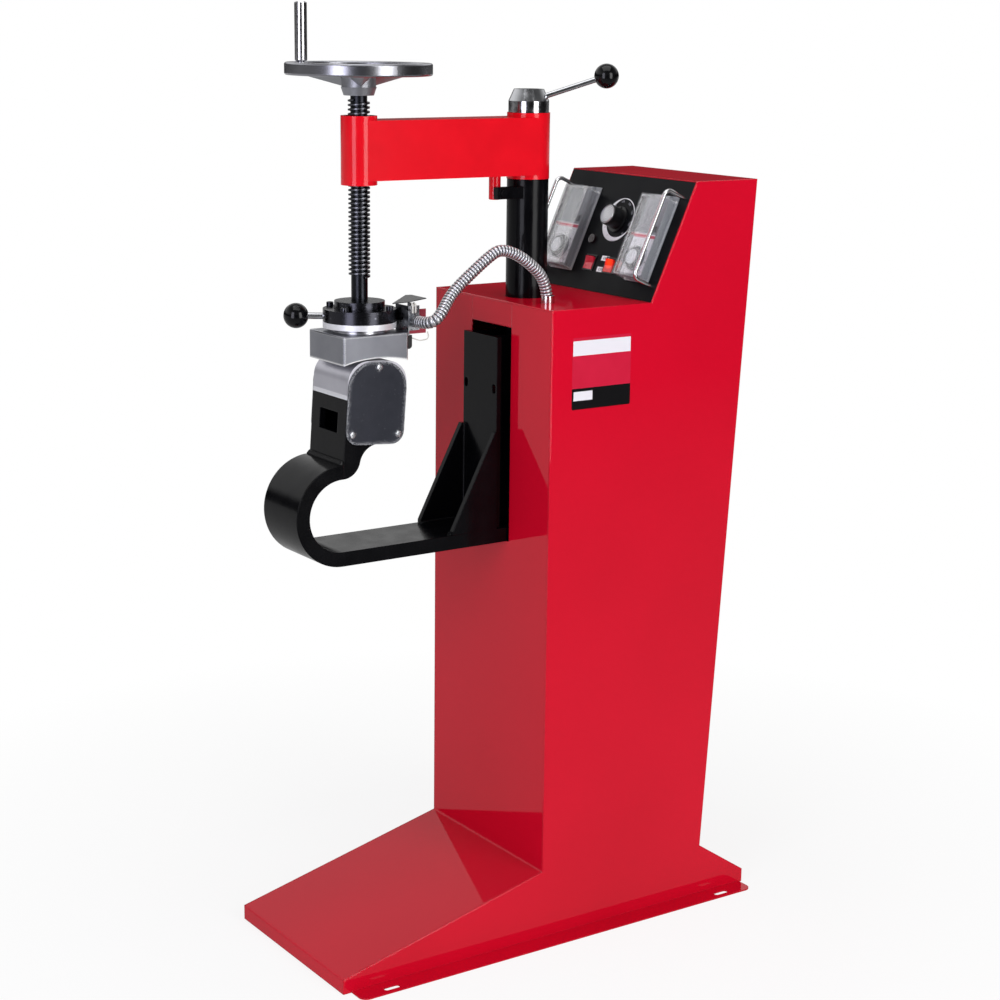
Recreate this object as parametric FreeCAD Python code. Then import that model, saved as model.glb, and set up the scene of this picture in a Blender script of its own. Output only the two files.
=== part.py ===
import FreeCAD, Part
import math
import os
from FreeCAD import Vector

# Tyre vulcanizing machine: a floor cabinet of folded sheet steel with a column at its front,
# a fixed C-arm with the lower platen, and a swing arm whose hand screw closes the upper platen.
# Origin on the column axis at floor level, +Z up, -Y to the front where the platens stand.
# Millimetres and degrees.

# Clearances
seat_gap = 0.3            # between pieces that only lie against each other
running_gap = 0.06        # radial, shaft in its hole
welded_gap = 0.2          # between a welded leg and the round column
past = 1.0                # how far a cut runs past the face it opens

# Cabinet, folded from one gauge of sheet
sheet = 2.0
cabinet_width = 300.0
front_face_y = -60.0
ramp_front_y = -398.0
ramp_lip_height = 22.0
ramp_top_height = 105.0
shelf_height = 936.0
panel_foot_y = 114.0
panel_top_y = 191.0
console_rise = 169.0
console_back_y = 305.0
rear_waist_y = 240.0
rear_waist_height = 80.0
rear_toe_y = 329.0
rear_toe_height = 21.0
fold_radius = 3.0
side_edge_radius = 1.6

# Bolt-down flanges along the floor
flange_width = 32.0
flange_front_y = -385.0
flange_back_y = 322.0
flange_corner_radius = 12.0
flange_slot_width = 9.0
flange_slot_length = 25.0
flange_slot_spacing = 600.0
flange_slot_middle_y = -31.0
flange_slot_inset = 20.0

# Floor plate that carries the column
floor_plate_thickness = 6.0
floor_plate_front_y = -150.0
floor_plate_back_y = 200.0

# Column with the swing arm's stud
column_radius = 30.0
column_wall = 5.0
column_height = 1105.5
column_plug_depth = 25.0
stud_radius = 19.0
stud_length = 116.0

# Stop lug welded to the column and its screw
lug_thickness = 10.0
lug_height = 17.0
lug_reach = 66.0
lug_drop = 9.5
stop_screw_radius = 4.0
stop_screw_head_radius = 6.0
stop_screw_head_height = 4.0
stop_screw_y = -56.0
stop_screw_reach = 2.0

# Swing arm casting
arm_length = 280.0
arm_height = 81.0
arm_boss_height = 93.0
arm_boss_drop = 6.0
front_boss_radius = 25.0
rear_boss_radius = 30.8
arm_nut_radius = 20.0
arm_nut_inset = 2.0
stop_pin_radius = 8.5
stop_pin_length = 34.5
stop_pin_y = -57.0
stop_pin_edge_radius = 1.5

# Lock nut on the stud, with its lever
lock_washer_thickness = 3.5
lock_nut_radius = 29.0
lock_nut_band = 12.5
lock_nut_height = 29.0
lock_nut_top_radius = 21.5
lock_nut_roof = 6.0
lever_radius = 4.0
lever_lift = 18.5
lever_heading = 55.7
lever_root = 17.0
lever_length = 92.5
lever_height = 17.0
ball_radius = 17.5
ball_socket = 12.0

# C-arm, a flat bar bent into a hook, and the bracket that carries it
bar_width = 95.0
bar_thickness = 20.5
bar_underside = 586.0
bar_back_y = -22.0
curl_radius = 72.0
curl_overrun = 1.7
bracket_width = 86.0
bracket_web = 8.0
bracket_front_y = -79.0
bracket_slot_gap = 14.0
bracket_leg = 8.0
bracket_leg_spacing = 60.0
bracket_hole_width = 9.0
bracket_hole_length = 14.0
bracket_hole_spacing = 72.0
bracket_hole_drop = 75.0
gusset_thickness = 8.0
gusset_overhang = 4.5
gusset_height = 143.0
gusset_reach = 76.0
gusset_toe = 5.0

# Slot in the cabinet's front where the bracket enters
slot_width = 102.0
slot_cover_height = 34.0

# Hollow post on the curl and the lower platen
post_width = 95.0
post_depth = 93.5
post_height = 86.0
post_wall = 9.5
post_floor_height = 23.8
post_toe_radius = 27.0
post_heel_radius = 29.0
post_rear_radius = 16.0
post_lead = 2.8
post_lean = 4.0
post_lean_drop = 21.0
window_width = 50.0
window_height = 29.0
window_drop = 20.0
heater_thickness = 6.2
platen_height = 48.1
platen_crown_radius = 190.0
platen_corner_radius = 30.0
cover_thickness = 2.0
cover_top_inset = 1.0
cover_side_inset = 0.5
cover_length = 115.5
cover_top_radius = 38.0
cover_bottom_radius = 19.0
cover_screw_side = 36.7
cover_screw_rise = 14.3
cover_screw_drop = 8.0

# Upper platen and what sits on it
press_gap = 3.3
upper_width = 96.0
upper_depth = 102.5
upper_lead = 1.8
upper_height = 32.4
upper_arch_radius = 205.0
upper_edge_radius = 2.0
pivot_boss_radius = 37.0
pivot_boss_height = 5.5
swivel_plate_thickness = 8.0
clamp_ring_radius = 51.0
clamp_ring_height = 17.5
clamp_lip_height = 8.0
ring_screw_circle = 46.0
ring_screw_radius = 3.0
ring_screw_head_radius = 5.0
ring_screw_head_height = 6.0
ring_screw_count = 4
ring_screw_start = 33.0
housing_radius = 35.0
housing_flange_radius = 42.0
housing_height = 28.0
screw_foot_radius = 20.0
screw_foot_height = 8.0
platen_lever_radius = 4.6
platen_lever_rise = 6.0
platen_lever_heading = 235.7
platen_lever_root = 43.5
platen_lever_length = 39.0
heater_rod_radius = 6.0
heater_rod_depth = 70.0
heater_rod_x = 38.0
heater_rod_drop = 14.5
heater_boot_width = 14.0
heater_boot_height = 19.0
heater_boot_depth = 8.0
heater_boot_radius = 5.0

# Terminal bracket on the upper platen's rear corner
bracket_sheet = 1.5
terminal_left_x = 14.0
terminal_right_x = 48.0
terminal_height = 36.0
terminal_skirt = 4.5
terminal_wall_depth = 18.0
terminal_wall_rise = 2.0
connector_inset = 10.0
connector_height = 15.0
connector_radius = 9.0
connector_length = 9.5
connector_neck_radius = 7.0
shield_thickness = 1.2
shield_lift = 5.0
shield_reach = 29.5
shield_tip_reach = 19.4
shield_tip_inset = 10.5
shield_left_x = 2.5
shield_corner = 6.0
shield_tilt = 6.5
shield_post_radius = 2.0
insulator_thickness = 2.0
insulator_depth = 28.0
insulator_height = 33.5
insulator_drop = 3.0
connector_neck_reach = 3.0
wire_radius = 1.5
thin_wire_radius = 0.8
wire_crest_rise = 3.0
wire_spacing = 4.5
wire_inset = 4.0
wire_drop = 6.0
wire_outer_drop = 10.0

# Trapezoidal hand screw
screw_radius = 15.0
screw_root_radius = 11.5
screw_pitch = 6.0
screw_crest = 2.2
thread_flank = 15.0
thread_runout = 6.0
thread_foot_sunk = 0.6
shank_length = 46.5
spigot_length = 38.0

# Handwheel with its crank handle
wheel_gap = 26.8
wheel_radius = 100.0
rim_height = 17.0
rim_depth = 14.0
rim_edge_radius = 3.0
rim_rise = 26.4
hub_bottom_radius = 20.6
hub_radius = 24.4
hub_neck_radius = 23.4
hub_cone_height = 11.0
hub_height = 37.0
spoke_count = 3
spoke_heading = 215.0
spoke_hub_width = 30.0
spoke_rim_width = 20.0
spoke_hub_side = 10.0
spoke_rim_side = 8.0
spoke_hub_drop = 2.0
spoke_keel_rise = 1.0
crank_circle = 86.0
crank_radius = 8.5
crank_length = 79.0
crank_chamfer = 1.5
crank_pin_radius = 5.0
crank_pin_inset = 2.0
crank_cap = 6.0

# Sloping control panel; places are x and height up the slope from its foot
panel_centre_x = 6.0
panel_top_margin = 2.0
control_hole_radius = 4.0
pointer_width = 1.6
pointer_rise = 1.2
pointer_edge_gap = 0.5
pointer_overlap = 2.0
knob_up = 114.0
knob_skirt_radius = 20.0
knob_radius = 16.0
knob_height = 23.0
knob_skirt_height = 2.7
knob_edge_radius = 1.0
knob_shaft_depth = 6.0
lamp_offset_x = -42.0
lamp_up = 79.0
lamp_radius = 7.0
lamp_neck_radius = 5.0
lamp_height = 4.0
lamp_depth = 12.0
switch_spacing = 49.0
switch_offset_x = -4.0
switch_up = 43.0
switch_frame_width = 25.0
switch_frame_height = 25.0
switch_frame_rise = 1.5
switch_frame_lap = 1.0
switch_depth = 22.0
rocker_width = 20.0
rocker_height = 21.0
rocker_end_room = 0.6
rocker_foot_half = 6.0
rocker_pin_radius = 1.5
rocker_pin_reach = 0.6
rocker_foot_depth = 2.0
rocker_pivot_depth = 4.0
rocker_crown = 6.5
rocker_tilt = 7.0
timer_spacing = 186.0
timer_up = 89.0
timer_width = 55.0
timer_height = 126.0
timer_base_rise = 1.5
timer_base_overhang = 7.0
timer_body_rise = 15.0
timer_side_room = 1.0
timer_knob_drop = 33.0
timer_knob_radius = 14.0
timer_skirt_radius = 18.5
timer_knob_height = 8.5
timer_skirt_height = 1.5
timer_shaft_depth = 7.0
cover_height = 28.0
cover_wall = 2.0
cover_edge_radius = 1.5
hinge_pin_radius = 1.5
hinge_knuckle_radius = 2.6
hinge_up = 3.5
hinge_rise = 4.5
hinge_lug_width = 20.0
hinge_ear_width = 3.0
hinge_web = 4.1
guard_offset_x = 132.0
guard_foot_up = 23.0
guard_span = 135.0
guard_height = 38.0
guard_rod_radius = 3.0
guard_bend_radius = 10.0

# Ribbed metal conduit and its fittings
conduit_radius = 8.4
conduit_root_radius = 7.4
conduit_bore = 6.4
conduit_rib_pitch = 4.9
conduit_crest_width = 2.5
conduit_flank_width = 0.8
ferrule_radius = 9.8
ferrule_bore = 8.9
ferrule_height = 10.0
ferrule_depth = 14.0
ferrule_seat_depth = 9.5
ferrule_collar_radius = 13.0
ferrule_collar_height = 4.0
gland_radius = 11.0
gland_nut_height = 8.8
gland_dome_radius = 10.0
gland_dome_height = 13.2
gland_neck_radius = 8.0
gland_neck_length = 10.0
gland_bore = 4.5
gland_wall = 2.0
gland_x = -80.0
gland_height = 150.0

# Screws that hold the rear sheet and the platen's side covers
case_screw_radius = 2.5
case_screw_head_radius = 4.5
case_screw_head_height = 2.5
case_screw_length = 6.0
rear_screw_inset = 12.0
rear_screw_foot_margin = 90.0
rear_screw_top_margin = 155.0

# Sizes that follow from the ones above
half_width = cabinet_width / 2
inner_half_width = half_width - sheet
console_height = shelf_height + console_rise
floor_top = floor_plate_thickness
arm_low = column_height + seat_gap
arm_high = arm_low + arm_boss_height
arm_body_low = arm_low + arm_boss_drop
bar_top = bar_underside + bar_thickness
curl_middle_z = bar_underside + curl_radius
curl_inner_radius = curl_radius - bar_thickness
curl_top = curl_middle_z + curl_radius
post_middle_y = -arm_length - post_lead
post_front_y = post_middle_y - post_depth / 2
post_back_y = post_middle_y + post_depth / 2
post_top = curl_top + post_height
lean_height = post_top - post_lean_drop
lean_turn = math.radians(post_lean)
foot_shift = (curl_top - lean_height) * math.tan(lean_turn)
post_foot_y = post_middle_y - post_depth / 2 / math.cos(lean_turn) + foot_shift
curl_middle_y = post_foot_y - curl_overrun
platen_base = post_top + heater_thickness
crown_top = platen_base + platen_height
cover_top = crown_top - cover_top_inset
cover_base = cover_top - cover_length
arch_top = crown_top + press_gap
upper_top = arch_top + upper_height
swivel_base = upper_top + pivot_boss_height
ring_base = swivel_base + swivel_plate_thickness
ring_top = ring_base + clamp_ring_height
housing_base = ring_base + seat_gap
housing_top = housing_base + housing_height
foot_base = housing_base + seat_gap
foot_top = foot_base + screw_foot_height
thread_base = foot_top + shank_length
thread_top = arm_high + wheel_gap
rim_base = thread_top + rim_rise
rim_top = rim_base + rim_height
upper_front_y = -arm_length - upper_lead - upper_depth / 2
upper_back_y = upper_front_y + upper_depth
slot_top = shelf_height - sheet - slot_cover_height
bracket_top = slot_top - bracket_slot_gap
panel_run = panel_top_y - panel_foot_y
panel_length = math.hypot(console_rise, panel_run)
panel_angle = math.degrees(math.atan2(console_rise, panel_run))


# Shape helpers

def block(x0, x1, y0, y1, z0, z1):
    return Part.makeBox(x1 - x0, y1 - y0, z1 - z0, Vector(x0, y0, z0))


def disc(radius, z0, z1, x=0.0, y=0.0):
    return Part.makeCylinder(radius, z1 - z0, Vector(x, y, z0))


def rod(radius, start, end):
    return Part.makeCylinder(radius, (end - start).Length, start, end - start)


def polygon_face(points):
    return Part.Face(Part.makePolygon(points + [points[0]]))


def side_prism(points, x0, x1):
    """Extrude an outline of (y, z) points from x0 to x1."""
    face = polygon_face([Vector(x0, y, z) for y, z in points])
    return face.extrude(Vector(x1 - x0, 0, 0))


def edges_along_x(shape, points):
    """Edges parallel to X whose (y, z) place is one of the points."""
    found = []
    for edge in shape.Edges:
        ends = [vertex.Point for vertex in edge.Vertexes]
        if len(ends) != 2 or abs(ends[0].y - ends[1].y) + abs(ends[0].z - ends[1].z) > 1e-6:
            continue
        if any(math.hypot(ends[0].y - y, ends[0].z - z) < 1e-4 for y, z in points):
            found.append(edge)
    return found


def leaned(shape):
    """Tip a piece of the lower tool back with its post, about a line parallel to X."""
    shape.rotate(Vector(0, post_middle_y, lean_height), Vector(1, 0, 0), -post_lean)
    return shape


def leaned_line(y, z):
    """Where the leaned upright line through y of the lower tool is at height z."""
    out = (y - post_middle_y) / math.cos(lean_turn)
    return post_middle_y + out + (z - lean_height) * math.tan(lean_turn)


def offset_point(before, corner, after, distance):
    """The corner of an outline moved square to both of its sides, to the left of the walk."""
    first = unit(before, corner) if before else unit(corner, after)
    second = unit(corner, after) if after else first
    normal_first = (-first[1], first[0])
    normal_second = (-second[1], second[0])
    dot = normal_first[0] * normal_second[0] + normal_first[1] * normal_second[1]
    scale = distance / (1 + dot)
    shift_y = (normal_first[0] + normal_second[0]) * scale
    shift_z = (normal_first[1] + normal_second[1]) * scale
    return (corner[0] + shift_y, corner[1] + shift_z)


def unit(start, end):
    length = math.hypot(end[0] - start[0], end[1] - start[1])
    return ((end[0] - start[0]) / length, (end[1] - start[1]) / length)


def folded_sheet(outer, distance, x0, x1):
    """A sheet folded along an outline of (y, z) points, with rounded folds."""
    last = len(outer) - 1
    inner = []
    for i, corner in enumerate(outer):
        before = outer[i - 1] if i > 0 else None
        after = outer[i + 1] if i < last else None
        inner.append(offset_point(before, corner, after, distance))
    solid = side_prism(outer + inner[::-1], x0, x1)
    outer_edges = edges_along_x(solid, outer[1:-1])
    solid = solid.makeFillet(fold_radius, outer_edges)
    inner_edges = edges_along_x(solid, inner[1:-1])
    return solid.makeFillet(fold_radius - abs(distance) / 2, inner_edges)


def slotted_hole(width, length, x, y, z0, z1):
    """A hole with round ends whose length runs along Y."""
    reach = (length - width) / 2
    hole = block(x - width / 2, x + width / 2, y - reach, y + reach, z0, z1)
    hole = hole.fuse(disc(width / 2, z0, z1, x, y - reach))
    return hole.fuse(disc(width / 2, z0, z1, x, y + reach))


def bent_rod(radius, points, bend_radius):
    """A round rod along straight runs joined by arcs of one radius."""
    edges = rounded_route(points[0], [(corner, bend_radius) for corner in points[1:-1]], points[-1])
    return swept(radius, Part.Wire(edges), points[0], points[1] - points[0])


def swept(radius, path, start, direction):
    profile = Part.Wire(Part.makeCircle(radius, start, direction))
    return path.makePipeShell([profile], True, True)


def screw_solid(place, outward, radius, head_radius, head_height, length):
    """A screw seated at a place, with its head on the outward side."""
    head = Part.makeCylinder(head_radius, head_height, place, outward)
    shank = Part.makeCylinder(radius, length, place, outward * -1)
    return head.fuse(shank)


def on_panel(shape):
    """Move a shape from the panel's own frame (x, up the slope, out of it) to its place."""
    moved = shape.copy()
    turn = FreeCAD.Rotation(Vector(1, 0, 0), panel_angle)
    moved.Placement = FreeCAD.Placement(Vector(0, panel_foot_y, shelf_height), turn).multiply(moved.Placement)
    return moved


# Cabinet

def cabinet_outline():
    return [
        (ramp_front_y, 0.0),
        (ramp_front_y, ramp_lip_height),
        (front_face_y, ramp_top_height),
        (front_face_y, shelf_height),
        (panel_foot_y, shelf_height),
        (panel_top_y, console_height),
        (console_back_y, console_height),
        (rear_waist_y, rear_waist_height),
        (rear_toe_y, rear_toe_height),
        (rear_toe_y, 0.0),
    ]


def side_panel(side):
    inner_x = side * inner_half_width
    outer_x = side * half_width
    outline = cabinet_outline()
    panel = side_prism(outline, inner_x, outer_x)
    rim = [edge for edge in panel.Edges if lies_on_rim(edge, outer_x)]
    panel = panel.makeFillet(side_edge_radius, rim)
    flange = floor_flange(side)
    return panel.fuse(flange).removeSplitter()


def lies_on_rim(edge, outer_x):
    ends = [vertex.Point for vertex in edge.Vertexes]
    on_face = all(abs(end.x - outer_x) < 1e-6 for end in ends)
    on_floor = all(end.z < 1e-6 for end in ends)
    return on_face and not on_floor


def floor_flange(side):
    near = side * (inner_half_width)
    far = side * (half_width + flange_width)
    low_x, high_x = min(near, far), max(near, far)
    flange = block(low_x, high_x, flange_front_y, flange_back_y, 0.0, sheet)
    corners = [edge for edge in flange.Edges if is_far_upright(edge, far)]
    flange = flange.makeFillet(flange_corner_radius, corners)
    slot_x = side * (half_width + flange_slot_inset)
    for end in (-1, 1):
        slot_y = flange_slot_middle_y + end * flange_slot_spacing / 2
        hole = slotted_hole(flange_slot_width, flange_slot_length, slot_x, slot_y, -past, sheet + past)
        flange = flange.cut(hole)
    return flange


def is_far_upright(edge, far):
    ends = [vertex.Point for vertex in edge.Vertexes]
    return abs(ends[0].z - ends[1].z) > 1.0 and abs(ends[0].x - far) < 1e-6


def front_sheet():
    outline = cabinet_outline()[:3] + [(front_face_y, shelf_height - sheet)]
    skin = folded_sheet(outline, -sheet, -inner_half_width, inner_half_width)
    half_slot = slot_width / 2
    slot = block(-half_slot, half_slot, front_face_y - past, front_face_y + sheet + past,
                 bar_underside - seat_gap, shelf_height)
    return skin.cut(slot)


def slot_cover():
    half = slot_width / 2 - seat_gap
    return block(-half, half, front_face_y, front_face_y + sheet, slot_top, shelf_height - sheet)


def shelf_plate():
    plate = block(-inner_half_width, inner_half_width, front_face_y, panel_foot_y,
                  shelf_height - sheet, shelf_height)
    front_edge = edges_along_x(plate, [(front_face_y, shelf_height)])
    plate = plate.makeFillet(side_edge_radius, front_edge)
    plate = plate.cut(disc(column_radius + seat_gap, shelf_height - sheet - past, shelf_height + past))
    return plate.cut(disc(ferrule_radius + running_gap, shelf_height - sheet - past, shelf_height + past,
                          ferrule_x, ferrule_y))


def console_top():
    top = block(-inner_half_width, inner_half_width, panel_top_y, console_back_y,
                console_height - sheet, console_height)
    return top


def rear_outline():
    slope = (console_back_y - rear_waist_y) / (console_height - rear_waist_height)
    top_z = console_height - sheet - seat_gap
    top_y = console_back_y - slope * (console_height - top_z)
    return [
        (rear_toe_y, 0.0),
        (rear_toe_y, rear_toe_height),
        (rear_waist_y, rear_waist_height),
        (top_y, top_z),
    ]


def rear_face_y(z):
    """Outer face of the rear sheet at a height above its waist."""
    slope = (console_back_y - rear_waist_y) / (console_height - rear_waist_height)
    return rear_waist_y + slope * (z - rear_waist_height)


def rear_normal():
    rise = console_height - rear_waist_height
    run = console_back_y - rear_waist_y
    return Vector(0, rise, -run).normalize()


def rear_screw_places():
    lowest = rear_waist_height + rear_screw_foot_margin
    highest = console_height - rear_screw_top_margin
    places = []
    for side in (-1, 1):
        for z in (lowest, (lowest + highest) / 2, highest):
            places.append(Vector(side * (inner_half_width - rear_screw_inset), rear_face_y(z), z))
    return places


def rear_sheet():
    skin = folded_sheet(rear_outline(), sheet, -inner_half_width, inner_half_width)
    normal = rear_normal()
    for place in rear_screw_places():
        skin = skin.cut(rod(case_screw_radius + running_gap, place + normal, place - normal * (sheet + past)))
    gland = Vector(gland_x, rear_face_y(gland_height), gland_height)
    hole = rod(gland_neck_radius + running_gap, gland + normal, gland - normal * (sheet + past))
    return skin.cut(hole)


def mains_gland():
    normal = rear_normal()
    place = Vector(gland_x, rear_face_y(gland_height), gland_height)
    nut = Part.makeCylinder(gland_radius, gland_nut_height, place, normal)
    dome = Part.makeCone(gland_dome_radius, gland_bore + gland_wall, gland_dome_height,
                         place + normal * gland_nut_height, normal)
    neck = Part.makeCylinder(gland_neck_radius, gland_neck_length, place, normal * -1)
    body = nut.fuse(dome).fuse(neck)
    inner_end = place - normal * (gland_neck_length + past)
    outer_end = place + normal * (gland_nut_height + gland_dome_height + past)
    return body.cut(rod(gland_bore, inner_end, outer_end))


def floor_plate():
    half = inner_half_width
    return block(-half, half, floor_plate_front_y, floor_plate_back_y, 0.0, floor_plate_thickness)


def side_cover_screw_places(side):
    """Three screws on each side cover of the lower platen."""
    x = side * (post_width / 2 + cover_thickness)
    low = cover_base + cover_screw_rise
    return [
        Vector(x, post_middle_y, cover_top - cover_screw_drop),
        Vector(x, post_middle_y - cover_screw_side, low),
        Vector(x, post_middle_y + cover_screw_side, low),
    ]


def case_screws():
    screws = []
    for place in rear_screw_places():
        screws.append(screw_solid(place, rear_normal(), case_screw_radius, case_screw_head_radius,
                                  case_screw_head_height, case_screw_length))
    for side in (-1, 1):
        for place in side_cover_screw_places(side):
            screws.append(leaned(screw_solid(place, Vector(side, 0, 0), case_screw_radius,
                                             case_screw_head_radius, case_screw_head_height,
                                             case_screw_length)))
    return Part.makeCompound(screws)


# Column, swing arm and lock nut

def column():
    tube = disc(column_radius, floor_top, column_height)
    tube = tube.cut(disc(column_radius - column_wall, floor_top + column_plug_depth,
                         column_height - column_plug_depth))
    post = tube.fuse(disc(stud_radius, column_height, column_height + stud_length))
    lug_near = stop_pin_radius + seat_gap + stop_screw_reach
    lug_top = column_height - lug_drop
    lug = block(lug_near, lug_near + lug_thickness, -lug_reach, -column_radius / 2,
                lug_top - lug_height, lug_top)
    lug = lug.cut(disc(column_radius - column_wall / 2, lug_top - lug_height - past, lug_top + past))
    middle_z = lug_top - lug_height / 2
    screw = rod(stop_screw_radius, Vector(stop_pin_radius + seat_gap, stop_screw_y, middle_z),
                Vector(lug_near + lug_thickness + stop_screw_head_height, stop_screw_y, middle_z))
    head = rod(stop_screw_head_radius, Vector(lug_near + lug_thickness, stop_screw_y, middle_z),
               Vector(lug_near + lug_thickness + stop_screw_head_height, stop_screw_y, middle_z))
    return post.fuse([lug, screw, head]).removeSplitter()


def arm_outline_face(z):
    """Outline of two circles and the lines that touch both."""
    lean = math.asin((rear_boss_radius - front_boss_radius) / arm_length)
    across = math.cos(lean)
    along = math.sin(lean)
    front = Vector(0, -arm_length, z)
    rear = Vector(0, 0, z)
    front_right = front + Vector(across, -along, 0) * front_boss_radius
    front_left = front + Vector(-across, -along, 0) * front_boss_radius
    rear_right = rear + Vector(across, -along, 0) * rear_boss_radius
    rear_left = rear + Vector(-across, -along, 0) * rear_boss_radius
    edges = [
        Part.LineSegment(front_right, rear_right).toShape(),
        Part.Arc(rear_right, rear + Vector(0, rear_boss_radius, 0), rear_left).toShape(),
        Part.LineSegment(rear_left, front_left).toShape(),
        Part.Arc(front_left, front - Vector(0, front_boss_radius, 0), front_right).toShape(),
    ]
    return Part.Face(Part.Wire(edges))


def swing_arm():
    body = arm_outline_face(arm_body_low).extrude(Vector(0, 0, arm_height))
    body = body.fuse(disc(front_boss_radius, arm_low, arm_high, 0.0, -arm_length))
    body = body.fuse(disc(rear_boss_radius, arm_low, arm_high)).removeSplitter()
    pin_low = arm_body_low - stop_pin_length
    pin = disc(stop_pin_radius, pin_low, arm_body_low, 0.0, stop_pin_y)
    pin_foot = [edge for edge in pin.Edges if abs(edge.CenterOfMass.z - pin_low) < 1e-6]
    body = body.fuse(pin.makeFillet(stop_pin_edge_radius, pin_foot))
    body = body.cut(disc(arm_nut_radius + running_gap, arm_low - past, arm_high + past, 0.0, -arm_length))
    return body.cut(disc(stud_radius + running_gap, arm_low - past, arm_high + past))


def screw_nut():
    low = arm_low + arm_nut_inset
    high = arm_high - arm_nut_inset
    nut = disc(arm_nut_radius, low, high, 0.0, -arm_length)
    return nut.cut(disc(screw_radius + running_gap, low - past, high + past, 0.0, -arm_length))


washer_low = arm_high + seat_gap
nut_low = washer_low + lock_washer_thickness
nut_high = nut_low + lock_nut_height


def lock_washer():
    ring = disc(lock_nut_radius, washer_low, nut_low)
    return ring.cut(disc(stud_radius + running_gap, washer_low - past, nut_low + past))


def lock_nut():
    band = disc(lock_nut_radius, nut_low, nut_low + lock_nut_band)
    cone = Part.makeCone(lock_nut_radius, lock_nut_top_radius, lock_nut_height - lock_nut_band,
                         Vector(0, 0, nut_low + lock_nut_band))
    nut = band.fuse(cone)
    nut = nut.cut(disc(stud_radius + running_gap, nut_low - past, nut_high - lock_nut_roof))
    start, end = lever_ends()
    return nut.cut(rod(lever_radius + running_gap, start - lever_direction(), end))


def lever_direction():
    lift = math.radians(lever_lift)
    heading = math.radians(lever_heading)
    return Vector(math.cos(lift) * math.cos(heading), math.cos(lift) * math.sin(heading), math.sin(lift))


def lever_ends():
    heading = math.radians(lever_heading)
    start = Vector(lever_root * math.cos(heading), lever_root * math.sin(heading), nut_low + lever_height)
    return start, start + lever_direction() * lever_length


def lock_lever():
    start, end = lever_ends()
    lever = rod(lever_radius, start, end)
    return lever.cut(disc(stud_radius + seat_gap, nut_low - past, nut_high - lock_nut_roof + seat_gap))


def ball_knob(start, end, radius):
    """A ball knob pushed onto the end of a lever."""
    along = (end - start).normalize()
    ball = Part.makeSphere(ball_radius, end - along * (ball_socket - ball_radius))
    return ball.cut(rod(radius + running_gap, end - along * (2 * ball_radius), end))


def lock_ball():
    start, end = lever_ends()
    return ball_knob(start, end, lever_radius)


# Bracket, C-arm, post and lower platen

def bracket_channel():
    half = bracket_width / 2
    web = block(-half, half, bracket_front_y, bracket_front_y + bracket_web, bar_top, bracket_top)
    hole_z = bracket_top - bracket_hole_drop
    for side in (-1, 1):
        web = web.cut(upright_slot(side * bracket_hole_spacing / 2, hole_z))
    channel = web
    for side in (-1, 1):
        leg_outer = side * bracket_leg_spacing / 2
        leg_inner = side * (bracket_leg_spacing / 2 - bracket_leg)
        leg = block(min(leg_inner, leg_outer), max(leg_inner, leg_outer),
                    bracket_front_y + bracket_web, -column_radius / 4, bar_top, bracket_top)
        channel = channel.fuse(leg)
        channel = channel.fuse(gusset(side))
    clear = disc(column_radius + welded_gap, bar_top - past, bracket_top + past)
    return channel.cut(clear).removeSplitter()


def upright_slot(x, z):
    """A hole with round ends through the web, its length upright."""
    reach = (bracket_hole_length - bracket_hole_width) / 2
    y0 = bracket_front_y - past
    y1 = bracket_front_y + bracket_web + past
    hole = block(x - bracket_hole_width / 2, x + bracket_hole_width / 2, y0, y1, z - reach, z + reach)
    for end in (-1, 1):
        middle_z = z + end * reach
        hole = hole.fuse(rod(bracket_hole_width / 2, Vector(x, y0, middle_z), Vector(x, y1, middle_z)))
    return hole


def gusset(side):
    outer = side * (bracket_width / 2 + gusset_overhang)
    inner = outer - side * gusset_thickness
    outline = [
        (bracket_front_y, bar_top),
        (bracket_front_y - gusset_reach, bar_top),
        (bracket_front_y - gusset_reach, bar_top + gusset_toe),
        (bracket_front_y - gusset_toe, bar_top + gusset_height),
        (bracket_front_y, bar_top + gusset_height),
    ]
    return side_prism(outline, min(inner, outer), max(inner, outer))


def c_arm_bar():
    """One bar: straight under the bracket, round the curl and a little way back over it."""
    half = bar_width / 2
    straight = block(-half, half, curl_middle_y, bar_back_y, bar_underside, bar_top)
    axis_start = Vector(-half, curl_middle_y, curl_middle_z)
    outer = Part.makeCylinder(curl_radius, bar_width, axis_start, Vector(1, 0, 0))
    inner = Part.makeCylinder(curl_inner_radius, bar_width + 2 * past, axis_start - Vector(past, 0, 0),
                              Vector(1, 0, 0))
    front_half = block(-half, half, curl_middle_y - curl_radius, curl_middle_y, bar_underside, curl_top)
    curl = outer.cut(inner).common(front_half)
    overrun = block(-half, half, curl_middle_y, post_foot_y, curl_top - bar_thickness, curl_top)
    bar = straight.fuse(curl).fuse(overrun).removeSplitter()
    return bar.cut(disc(column_radius + welded_gap, bar_underside - past, bar_top + past))


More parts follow.
